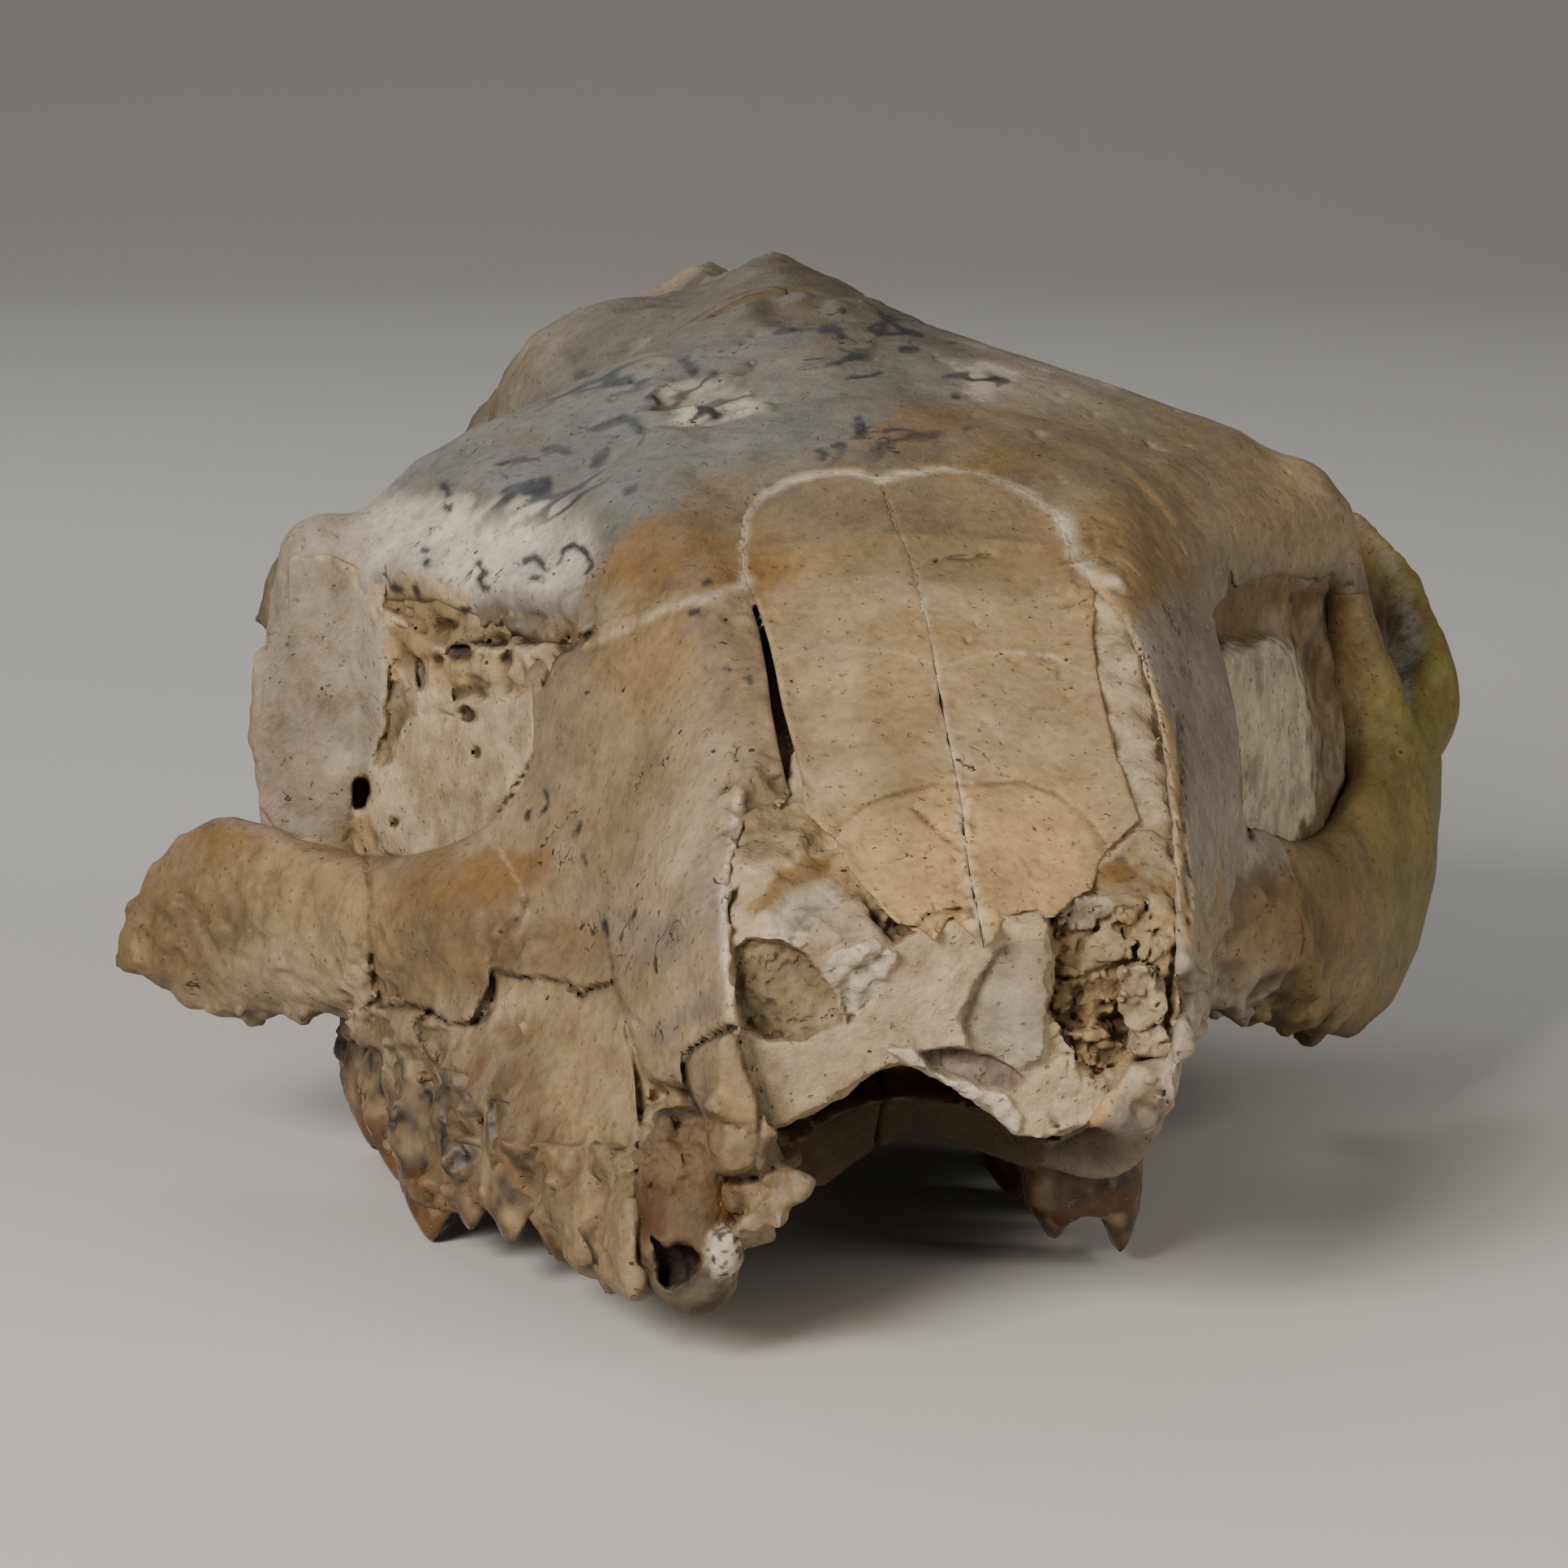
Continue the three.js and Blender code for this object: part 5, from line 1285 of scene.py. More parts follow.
# Washes on the chart: tone, middle, half sizes, strength.
WASHES = [
    ("honey", (1180, 1060), (180, 100), 0.9), ("bark", (1050, 640), (140, 84), 0.75),
    ("bark", (1220, 640), (140, 80), 0.65), ("cream", (1010, 900), (60, 130), 0.25),
    ("dust", (1130, 700), (90, 60), 0.2), ("plum", (1130, 600), (60, 30), 0.3),
    ("cream", (1250, 900), (60, 90), 0.2), ("tan", (1340, 900), (50, 130), 0.6),
    ("blue", (740, 560), (230, 120), 0.8), ("blue", (960, 480), (200, 90), 0.7),
    # The brow washes on the line below are the brow's pale bone, partly a painted highlight.
    ("brow", (560, 690), (110, 60), 0.75), ("brow", (640, 660), (70, 40), 0.5),
    # The brow wash at (880, 494) is pale bone on the temporal ridge, partly a painted highlight on its
    # bumps.
    ("brow", (880, 494), (56, 22), 0.7), ("brow", (1200, 472), (36, 18), 0.8),
    # The brow wash at (793, 450) is also pale ridge, partly a painted highlight.
    ("brow", (793, 450), (36, 18), 0.4), ("moss", (700, 430), (130, 40), 0.6),
    ("moss", (900, 400), (140, 30), 0.4), ("brow", (455, 640), (50, 60), 0.4),
    ("rust", (830, 700), (120, 40), 0.9), ("rust", (890, 650), (50, 40), 0.6),
    ("rust", (1210, 545), (150, 36), 0.75), ("rust", (1390, 670), (90, 80), 0.7),
    ("rust", (1450, 730), (70, 50), 0.6), ("tan", (1500, 640), (170, 120), 0.5),
    ("dust", (1340, 480), (190, 60), 0.6), ("dust", (420, 640), (70, 60), 0.7),
    ("honey", (520, 770), (60, 34), 0.5), ("tan", (1600, 620), (90, 70), 0.4),
    ("tan", (760, 830), (100, 110), 0.6), ("cream", (850, 1020), (50, 190), 0.35),
    ("plum", (690, 880), (60, 90), 0.45), ("plum", (875, 1120), (24, 34), 0.6),
    ("plum", (815, 1162), (40, 24), 0.6), ("plum", (845, 1258), (48, 18), 0.6),
    ("plum", (760, 1150), (26, 40), 0.35), ("rust", (560, 1085), (95, 42), 0.95),
    ("umber", (550, 1165), (105, 60), 0.75), ("umber", (690, 1190), (70, 30), 0.55),
    ("tan", (700, 1310), (90, 90), 0.7), ("cream", (640, 1250), (50, 36), 0.4),
    ("tan", (900, 1330), (40, 90), 0.8), ("dust", (480, 1370), (60, 80), 0.6),
    # The earth wash at (835, 1430) is painted shade in the low ground right of the step by the canine.
    ("umber", (520, 1420), (60, 60), 0.6), ("earth", (835, 1430), (60, 46), 0.5),
    ("honey", (385, 1105), (90, 46), 0.75), ("cream", (390, 1195), (90, 50), 0.55),
    ("umber", (220, 1080), (70, 50), 0.5), ("umber", (165, 1180), (46, 40), 0.6),
    ("rust", (285, 1040), (60, 44), 0.7), ("ash", (390, 850), (110, 170), 0.85),
    ("moss", (950, 350), (170, 46), 0.7), ("moss", (1100, 400), (120, 40), 0.4),
    # The earth wash at (1150, 1400), with the near-black one at (1160, 1400) two lines down, is a painted
    # shadow in the hollow under the nose's sediment. The umber wash at (840, 1380) is painted shade in the
    # low ground right of the step by the canine.
    ("earth", (1150, 1400), (210, 60), 0.85), ("umber", (840, 1380), (50, 50), 0.6),
    # The umber wash at (860, 1460) is painted shade in the same low ground.
    ("umber", (860, 1460), (80, 50), 0.6), ("plum", (845, 1395), (26, 30), 0.5),
    # The near-black wash at (1160, 1400) on the line below is painted shadow under the nose's sediment.
    ("tan", (740, 1500), (70, 90), 0.5), ("soot", (1160, 1400), (230, 60), 0.5),
    ("gold", (1680, 1040), (90, 170), 0.7), ("dust", (1480, 900), (60, 220), 0.7),
    ("umber", (700, 1200), (120, 36), 0.35), ("gold", (1560, 1130), (90, 60), 0.5),
    ("umber", (180, 1160), (80, 70), 0.5), ("gold", (200, 1140), (70, 60), 0.4),
    # The umber wash at (800, 1470) is a painted shadow cast by the step onto the lower ground.
    ("umber", (800, 1470), (22, 60), 0.8), ("rust", (840, 690), (80, 34), 0.7),
    ("umber", (520, 1350), (110, 40), 0.35), ("umber", (560, 1085), (95, 42), 0.45),
    ("umber", (550, 1170), (110, 60), 0.35), ("bark", (390, 1110), (110, 60), 0.35),
    ("umber", (200, 1150), (90, 60), 0.4), ("bark", (720, 1500), (90, 90), 0.5),
    ("bark", (790, 900), (90, 130), 0.3), ("olive", (960, 345), (140, 36), 0.35),
    ("bark", (1050, 640), (140, 70), 0.35), ("umber", (1050, 620), (130, 60), 0.3),
    ("bark", (1380, 530), (170, 60), 0.5), ("umber", (850, 690), (70, 30), 0.4),
    ("umber", (1400, 690), (80, 60), 0.3), ("umber", (1560, 1150), (70, 50), 0.5),
    ("moss", (950, 350), (150, 40), 0.5), ("honey", (1366, 1362), (24, 34), 0.8),
    ("cream", (1418, 1334), (36, 36), 0.6), ("bark", (430, 1130), (130, 80), 0.4),
    ("rust", (830, 700), (90, 34), 0.4), ("rust", (1560, 1120), (60, 60), 0.4),
    ("bark", (1130, 650), (200, 60), 0.35), ("moss", (980, 360), (170, 50), 0.5),
    ("bark", (760, 850), (120, 120), 0.2), ("umber", (560, 1430), (120, 70), 0.55),
    ("earth", (500, 1420), (60, 60), 0.3), ("rust", (560, 1090), (80, 36), 0.5),
    ("bark", (700, 1330), (90, 90), 0.35), ("plum", (620, 1350), (60, 50), 0.3),
    ("rust", (790, 790), (60, 60), 0.4), ("umber", (620, 790), (110, 24), 0.6),
    ("cream", (370, 900), (50, 80), 0.3), ("plum", (1480, 860), (50, 130), 0.4),
    ("dust", (1490, 1130), (40, 80), 0.4), ("rust", (1600, 1120), (90, 50), 0.5),
    ("tan", (1545, 1150), (60, 70), 0.6), ("olive", (1745, 1050), (44, 190), 0.45),
    ("olive", (1745, 780), (50, 160), 0.7), ("earth", (1640, 770), (24, 60), 0.7),
]

# Lines on the chart: tone, places, half width in units, strength.
PAINT_LINES = [
    ("chalk", NASAL_TOP_RIGHT, 4.5, 0.7), ("chalk", NASAL_TOP_LEFT, 4.5, 0.7),
    ("chalk", [(1310, 640), (1330, 690), (1352, 716), (1374, 718)], 12, 0.7),
    ("chalk", [(925, 716), (880, 735), (830, 746), (780, 768), (740, 790), (700, 796)], 6, 0.55),
    ("chalk", MIDLINE_SUTURE[3:], 4, 0.45), ("chalk", MIDLINE_SUTURE[7:], 8, 0.6),
    # The two short near-black lines below are painted shade in small holes along the midline suture.
    ("soot", [(1206, 1150), (1213, 1162)], 5, 0.9), ("soot", [(1194, 1120), (1197, 1130)], 4, 0.8),
    ("umber", [(1020, 1040), (1034, 1012), (1060, 996), (1100, 980), (1150, 968), (1188, 970), (1262, 964),
               (1300, 980), (1346, 1020), (1358, 1050)], 4, 0.55),
    ("chalk", [(598, 1030), (622, 1056), (640, 1090), (650, 1122), (642, 1150)], 2, 0.25),
    ("honey", [(1356, 722), (1382, 770), (1412, 840), (1438, 900), (1450, 960), (1456, 1060),
               (1464, 1160)], 7, 0.8),
    ("chalk", [(908, 985), (902, 1050), (892, 1085), (894, 1180), (901, 1240), (905, 1268)], 6, 0.85),
    ("cream", [(930, 745), (946, 800), (958, 860), (966, 905), (972, 950)], 7, 0.6),
    ("chalk", [(965, 812), (1010, 800), (1060, 798), (1110, 805), (1150, 820)], 2.5, 0.35),
    ("chalk", [(1160, 822), (1220, 803), (1290, 805), (1340, 830)], 2.5, 0.35),
    ("honey", [(1385, 575), (1412, 600), (1432, 622), (1446, 642)], 5, 0.6),
]

# Where dark mineral specks are thick: middle, half sizes, amount.
INK = [((590, 690), (130, 60), 0.45), ((720, 560), (190, 80), 0.45), ((1045, 545), (50, 36), 1.0),
       ((1040, 410), (90, 36), 0.8), ((880, 440), (120, 50), 0.6), ((850, 860), (110, 160), 0.55),
       ((1300, 900), (90, 190), 0.3), ((1090, 1080), (90, 50), 0.4), ((790, 1150), (70, 60), 0.8),
       ((885, 1110), (30, 40), 0.12), ((700, 1040), (50, 70), 0.85), ((1450, 820), (50, 100), 0.5),
       ((1330, 765), (30, 30), 0.9), ((1290, 560), (130, 50), 0.2), ((840, 1260), (60, 30), 0.5)]
PIECE_TONES = {
    "right_nasal_bone": "tan", "left_nasal_bone": "tan", "frontal_bones": "slate",
    "right_jugal_bone": "rosy", "left_jugal_and_arch": "gold", "right_maxilla": "rosy",
    "left_maxilla": "ash", "braincase": "moss",
}
# Clouds: tone, size in mm, seed, the most that they cover.
CRUST_CLOUDS = [("earth", 2.6, 171, 0.85), ("amber", 4.0, 172, 0.6), ("moss", 3.0, 173, 0.4)]
REAR_CLOUDS = [("tan", 12, 161, 0.75), ("dust", 4, 162, 0.5), ("earth", 6, 163, 0.5)]
SILT_CLOUDS = [("umber", 5, 111, 0.3), ("chalk", 4, 112, 0.25), ("plum", 7, 113, 0.2)]
# Directions on the chart along and across the forehead's veins, each with its share of length.
STREAK = np.array([[0.866, -0.5], [0.5, 0.866]]) * np.array([[0.32], [0.95]])
# Larger dark marks, listed one by one: places and half width.
INK_MARKS = [
    ([(686, 694), (693, 678), (708, 670), (722, 680), (730, 697), (722, 706)], 4.5),
    ([(590, 694), (598, 704), (592, 712), (598, 724)], 6), ([(486, 725), (492, 726)], 7),
    ([(522, 676), (530, 684), (526, 694)], 5), ([(512, 724), (516, 738)], 5), ([(566, 752), (576, 750)], 5),
    ([(648, 692), (660, 688), (672, 700)], 7), ([(656, 712), (668, 714)], 5),
    ([(548, 600), (556, 612), (552, 626)], 6), ([(646, 604), (662, 600), (676, 606)], 6),
    ([(728, 572), (742, 562), (752, 550)], 6),
    ([(726, 528), (748, 524), (768, 516), (784, 520), (790, 532)], 6), ([(712, 462), (726, 458)], 7),
    ([(846, 446), (856, 458)], 8), ([(668, 556), (688, 552), (700, 556)], 5),
    ([(1016, 406), (1030, 404), (1036, 414)], 7), ([(1058, 520), (1064, 534)], 7),
    ([(1010, 556), (1016, 562)], 6), ([(1112, 430), (1130, 430)], 5), ([(770, 606), (782, 602)], 5),
    ([(616, 572), (640, 566), (662, 562)], 4), ([(714, 1018), (708, 1034), (714, 1048), (722, 1062)], 3.5),
    ([(652, 1000), (650, 1008)], 4), ([(672, 976), (676, 990), (668, 1002)], 3),
    ([(745, 1136), (747, 1150)], 3.5), ([(782, 1124), (778, 1138)], 4), ([(762, 1160), (768, 1152)], 3),
    ([(896, 824), (900, 826)], 4), ([(923, 836), (926, 842)], 4),
    ([(1064, 522), (1050, 544), (1026, 552)], 3), ([(870, 720), (874, 716)], 6),
    ([(852, 756), (860, 752)], 5),
]


def bell(uv, middle, half):
    """1 in the middle of an ellipse, falling softly to 0 outside it."""
    return smooth_step(1.9, 0.2, ellipse(uv, middle, half))


def laid(colour, tone, share):
    """The colour with a share of a named tone laid over it, point by point."""
    share = share[:, None]
    return colour * (1 - share) + np.array(TONES[tone]) * share


def mottled(colour, p, clouds, where, low, high, octaves=3):
    """The colour under clouds of tones. Each cloud has a tone, a size in mm, a seed and the most
    that it covers, and it lies where its own noise is high."""
    for tone, size, seed, most in clouds:
        cover = smooth_step(low, high, rough(p, size, octaves, seed))
        colour = laid(colour, tone, most * where * cover)
    return colour


def paint_bone(p, base):
    """Colour and ink amount at each point: the base tone, clouded at two sizes, then the washes,
    the lines and painted shade along the cracks, the forehead's veins and dark marks, the crust
    by the molars, the tones of the back, and painted shade in the low parts. Washes fade out behind the
    forehead."""
    uv, _ = chart(p)
    shaken = uv + 32 * np.stack([rough(p, 9, 4, 101), rough(p, 9, 4, 102)], 1)
    fine = uv + 2.5 * np.stack([grain(p, 1.2, 103), grain(p, 1.2, 104)], 1)
    front = smooth_step(142, 114, p[:, 1])
    colour = np.tile(np.array(TONES[base]), (len(p), 1))
    colour = mottled(colour, p, [("umber", 14, 105, 0.34), ("cream", 11, 106, 0.34)], 1.0, 0.0, 0.9)
    for tone, middle, half, strength in WASHES:
        colour = laid(colour, tone, strength * front * bell(shaken, middle, half))
    patchy = 0.55 + 0.45 * smooth_step(-0.5, 0.3, grain(p, 3.0, 107))
    for tone, line, width, strength in PAINT_LINES:
        colour = laid(colour, tone, strength * front * patchy * along(fine, line, width, 1.0))
    # Painted shade along each crack: near-black laid on its line, darker for deeper cracks.
    for line, width, depth in CRACKS:
        colour = laid(colour, "soot", front * min(depth, 1.0) * 0.85 * along(fine, line, width, 1.5))
    ink = np.zeros(len(p))
    for middle, half, amount in INK:
        ink = np.maximum(ink, amount * bell(shaken, middle, half) * front)
    streaky = (bell(shaken, (760, 530), (420, 170)) + bell(shaken, (1060, 440), (180, 90))).clip(0, 1)
    streaky *= smooth_step(124, 108, p[:, 1]) * (1 - 0.8 * bell(uv, (560, 690), (150, 56)))
    streaky *= 1 - bell(uv, (1120, 690), (230, 120))
    slant = np.stack([uv @ STREAK[0] / 15, uv @ STREAK[1] / 15, p[:, 1] * 0.3], 1)
    colour = mottled(colour, slant, [("veil", 5.5, 151, 0.6)], streaky, 0.0, 0.8)
    colour = mottled(colour, slant, [("bark", 5.0, 152, 0.5)], streaky, 0.15, 0.95)
    vein = smooth_step(0.16, 0.05, np.abs(rough(slant, 3.2, 3, 153)))
    vein *= smooth_step(0.1, 0.35, grain(slant, 2.2, 154))
    colour = laid(colour, "ink", 0.95 * vein * streaky)
    broken = 0.97 * front * smooth_step(-0.55, -0.15, grain(p, 1.3, 109))
    for line, width in INK_MARKS:
        d, _ = line_distance(fine, line, width * 4)
        colour = laid(colour, "ink", broken * np.exp(-(d / width / 0.95) ** 4))
    crust = front * bell(shaken, (540, 1420), (150, 110))
    colour = mottled(colour, p, CRUST_CLOUDS, crust, 0.0, 0.45)
    colour = mottled(colour, p, REAR_CLOUDS, smooth_step(134, 156, p[:, 1]), -0.3, 0.7, 4)
    # Painted shade: earth brown laid where the rough zones push the surface inwards.
    painted_hollow_shade = smooth_step(0.05, 0.7, zone_relief(p, uv) - 0.1)
    return laid(colour, "earth", 0.6 * front * painted_hollow_shade), ink


# %% Colours of the sediment and the teeth
PATCH_TONES = {
    "upper left hollow": "tan", "pale strip": "cream", "brown flake": "rust", "fibrous shard": "chalk",
    "brown oval": "bark", "grey plate": "ash", "orange band": "bark", "right lobes": "chalk",
    "grey plane": "dust", "purple layer": "plum", "lower lip": "chalk", "left rubble": "tan",
    "tan rear": "bark", "orange flake": "rust", "grey knob": "dust", "under shelf": "tan",
    # The side hollow's earth tone is painted shade in a deep hole.
    "brown lumps": "tan", "crumbs": "tan", "bone strip": "cream", "side hollow": "earth",
    "upper crumbs": "tan", "crevice": "bark", "side crumbs": "cream", "brown recess": "umber",
    # The notch's earth tone is painted shade in a deep hole.
    "dark nest": "earth", "rear slab": "tan", "notch": "earth", "pale mass": "cream", "foot": "tan",
    "pale oval": "chalk", "cream": "cream",
}


def paint_sediment(p, base, patches, seed):
    """The base tone, clouded, then each patch's tone inside its ring, with painted shade in the hollows
    of the same grain that shaped it, in the right orbit's small holes and in the creases between crumbs."""
    uv, _ = chart(p)
    shaken = shake_break(p, uv)
    colour = np.tile(np.array(TONES[base]), (len(p), 1))
    for k, (name, ring, _, _, _, height, size) in enumerate(patches):
        near = ring_distance(shaken, ring, 30) < 3
        inside = (0.85 * smooth_step(3, -3, ring_distance(shaken[near], ring, 30)))[:, None]
        # Painted shade: the tone darkens where this grain is high, which is where the patch's surface lies
        # further back.
        low = smooth_step(0.0, 0.7, rough(p[near], size, 3, seed + k)) * 0.7 * min(height, 1.0)
        tone = np.array(TONES[PATCH_TONES[name]]) * (1 - low)[:, None]
        colour[near] = colour[near] * (1 - inside) + tone * inside
    # Painted shade in the small holes of the right orbit.
    for middle, half, _ in ORBIT_HOLES if patches is RIGHT_SLABS else []:
        colour *= 1 - 0.85 * hole_share(p, uv, middle, half)[:, None]
    # Painted shade in the creases between crumbs of the broken front.
    if patches is BREAK_PATCHES:
        colour *= 1 - 0.5 * crumb_creases(p, uv).clip(0, 1)[:, None]
    return mottled(colour, p, SILT_CLOUDS, 1.0, 0.0, 0.8), np.zeros(len(p))


CANINE_WASHES = [("umber", (850, 1470), (90, 70), 0.8), ("rust", (845, 1470), (34, 26), 0.6),
                 ("earth", (850, 1460), (70, 70), 0.8), ("amber", (905, 1482), (26, 22), 0.9),
                 ("enamel", (800, 1490), (18, 50), 0.9),
                 ("moss", (852, 1592), (60, 26), 0.9), ("chalk", (893, 1545), (22, 34), 0.85),
                 # The near-black wash at (838, 1558) is painted shade in the stump's hollow.
                 ("soot", (838, 1558), (30, 28), 0.85), ("umber", (850, 1415), (90, 40), 0.7)]


def paint_canine(p):
    """The crusted tooth's colours, with listed washes over them. Only the amber shines."""
    colour, shine = paint_tooth(p, True)
    uv, _ = chart(p)
    shaken = uv + 7 * np.stack([rough(p, 2, 3, 125), rough(p, 2, 3, 126)], 1)
    for tone, middle, half, strength in CANINE_WASHES:
        share = strength * bell(shaken, middle, half)
        colour = laid(colour, tone, share)
        shine = np.maximum(shine * (1 - share), share * (tone == "amber"))
    speckle = bell(uv, (893, 1545), (24, 36)) * smooth_step(0.1, 0.35, grain(p, 0.45, 127))
    return colour * (1 - 0.9 * speckle)[:, None], shine


def paint_tooth(p, crusted):
    """Brown enamel, darker towards the tips, under a pale crust that thins out downwards."""
    colour = np.tile(np.array(TONES["enamel"]), (len(p), 1))
    streak = smooth_step(-0.2, 0.7, rough(p * np.array([1, 1, 0.3]), 1.6, 3, 121))
    colour = laid(colour, "amber", 0.7 * streak)
    gum = smooth_step(4.5, 9.0, p[:, 2] + 3.0 * rough(p, 2.5, 3, 122))
    patchy = smooth_step(-0.35 if crusted else -0.05, 0.35 if crusted else 0.5, rough(p, 2.2, 3, 123))
    share = np.maximum(gum * 0.9, patchy * 0.95)[:, None]
    crust = np.array(TONES["tan"]) * (0.42 + 0.5 * rough(p, 2.2, 3, 124).clip(-0.8, 1))[:, None]
    colour = colour * (1 - share) + crust * share
    return colour, 1 - share[:, 0]

# %% [markdown]
# ## Finishes
# Four finishes cover the fossil: mineralised bone, grainy silt, crusted tooth and glossy enamel.
# The tones come from the mesh. What is finer than the mesh is made in the shader from noise
# in object space: pores, a fine grain and soft waves as a bump, clouding of the tone, and the
# ink-like mineral specks and squiggles of the forehead. Effects that several finishes share are
# node groups, and each finish sets its own amounts.

# %% Node helpers
def add_node(tree, kind, **values):
    """A node of the given kind, with its settings and its inputs' plain values set by name."""
    node = tree.nodes.new(kind)
    for key, value in values.items():
        if key in node.inputs.keys():
            node.inputs[key].default_value = value
        else:
            setattr(node, key, value)
    return node


def math_node(tree, operation, a, b=None):
    """A math node fed by sockets or numbers."""
    node = tree.nodes.new("ShaderNodeMath")
    node.operation = operation
    for k, value in enumerate((a, b)):
        if hasattr(value, "is_linked"):
            tree.links.new(value, node.inputs[k])
        elif value is not None:
            node.inputs[k].default_value = value
    return node.outputs[0]


def span_node(tree, value, low, high):
    """Maps low..high to 0..1 with a smooth ramp."""
    node = add_node(tree, "ShaderNodeMapRange", interpolation_type="SMOOTHSTEP")
    tree.links.new(value, node.inputs["Value"])
    node.inputs["From Min"].default_value = low
    node.inputs["From Max"].default_value = high
    return node.outputs["Result"]


def noise_node(tree, vector, per_metre, detail=3.0, distortion=0.0):
    """Noise with features of about one over per_metre metres."""
    node = add_node(tree, "ShaderNodeTexNoise", Scale=per_metre, Detail=detail, Distortion=distortion,
                    Roughness=0.6)
    tree.links.new(vector, node.inputs["Vector"])
    return node.outputs["Fac"]


def new_group(name, inputs, outputs):
    """An empty node group with typed sockets."""
    group = bpy.data.node_groups.new(name, "ShaderNodeTree")
    for title, kind in inputs:
        group.interface.new_socket(title, in_out="INPUT", socket_type=kind)
    for title, kind in outputs:
        group.interface.new_socket(title, in_out="OUTPUT", socket_type=kind)
    return group, group.nodes.new("NodeGroupInput"), group.nodes.new("NodeGroupOutput")


# %% Group: the fine relief of mineral surfaces
relief_group, relief_in, relief_out = new_group(
    "mineral_relief", [("Vector", "NodeSocketVector"), ("Grain", "NodeSocketFloat")],
    [("Height", "NodeSocketFloat"), ("Pores", "NodeSocketFloat")])
soft_waves = noise_node(relief_group, relief_in.outputs["Vector"], 420, 4)
sand = noise_node(relief_group, relief_in.outputs["Vector"], 2100, 3)
pore_places = noise_node(relief_group, relief_in.outputs["Vector"], 1250, 1.5)
pores = span_node(relief_group, pore_places, 0.66, 0.74)
sand_share = math_node(relief_group, "MULTIPLY", sand, relief_in.outputs["Grain"])
height = math_node(relief_group, "ADD", soft_waves, sand_share)
height = math_node(relief_group, "SUBTRACT", height, pores)
relief_group.links.new(height, relief_out.inputs["Height"])
relief_group.links.new(pores, relief_out.inputs["Pores"])

# %% Group: ink-like specks and squiggles
ink_group, ink_in, ink_out = new_group(
    "mineral_ink", [("Vector", "NodeSocketVector"), ("Amount", "NodeSocketFloat")],
    [("Mask", "NodeSocketFloat")])
wander = noise_node(ink_group, ink_in.outputs["Vector"], 300, 2.2, 0.9)
thin = math_node(ink_group, "ABSOLUTE", math_node(ink_group, "SUBTRACT", wander, 0.5))
squiggle = span_node(ink_group, thin, 0.026, 0.010)
where = noise_node(ink_group, ink_in.outputs["Vector"], 210, 2)
where = math_node(ink_group, "ADD", where, math_node(ink_group, "MULTIPLY", ink_in.outputs["Amount"], 0.24))
squiggle = math_node(ink_group, "MULTIPLY", squiggle, span_node(ink_group, where, 0.70, 0.78))
speck_places = noise_node(ink_group, ink_in.outputs["Vector"], 900, 1.2)
speck_level = math_node(ink_group, "ADD", speck_places,
                        math_node(ink_group, "MULTIPLY", ink_in.outputs["Amount"], 0.09))
specks = span_node(ink_group, speck_level, 0.765, 0.79)
ink_group.links.new(math_node(ink_group, "MAXIMUM", squiggle, specks), ink_out.inputs["Mask"])

# %% Group: clouding of a tone
cloud_group, cloud_in, cloud_out = new_group(
    "tone_clouds", [("Vector", "NodeSocketVector"), ("Color", "NodeSocketColor"),
                    ("Amount", "NodeSocketFloat")],
    [("Color", "NodeSocketColor"), ("Stain", "NodeSocketFloat")])
broad = noise_node(cloud_group, cloud_in.outputs["Vector"], 190, 7)
narrow = noise_node(cloud_group, cloud_in.outputs["Vector"], 1100, 4)
mottle = math_node(cloud_group, "ADD", math_node(cloud_group, "MULTIPLY", broad, 0.6),
                   math_node(cloud_group, "MULTIPLY", narrow, 0.4))
lift = math_node(cloud_group, "SUBTRACT", mottle, 0.5)
lift = math_node(cloud_group, "MULTIPLY", lift, cloud_in.outputs["Amount"])
lift = math_node(cloud_group, "ADD", lift, 1.0)
scaled = add_node(cloud_group, "ShaderNodeVectorMath", operation="SCALE")
cloud_group.links.new(cloud_in.outputs["Color"], scaled.inputs[0])
cloud_group.links.new(lift, scaled.inputs["Scale"])
cloud_group.links.new(scaled.outputs["Vector"], cloud_out.inputs["Color"])
stain_places = noise_node(cloud_group, cloud_in.outputs["Vector"], 430, 6, 0.6)
cloud_group.links.new(span_node(cloud_group, stain_places, 0.55, 0.72), cloud_out.inputs["Stain"])
print("groups:", [g.name for g in bpy.data.node_groups])


# %% The four finishes
def use_group(tree, group, vector):
    """A group node fed with the object's own coordinates."""
    node = tree.nodes.new("ShaderNodeGroup")
    node.node_tree = group
    tree.links.new(vector, node.inputs["Vector"])
    return node


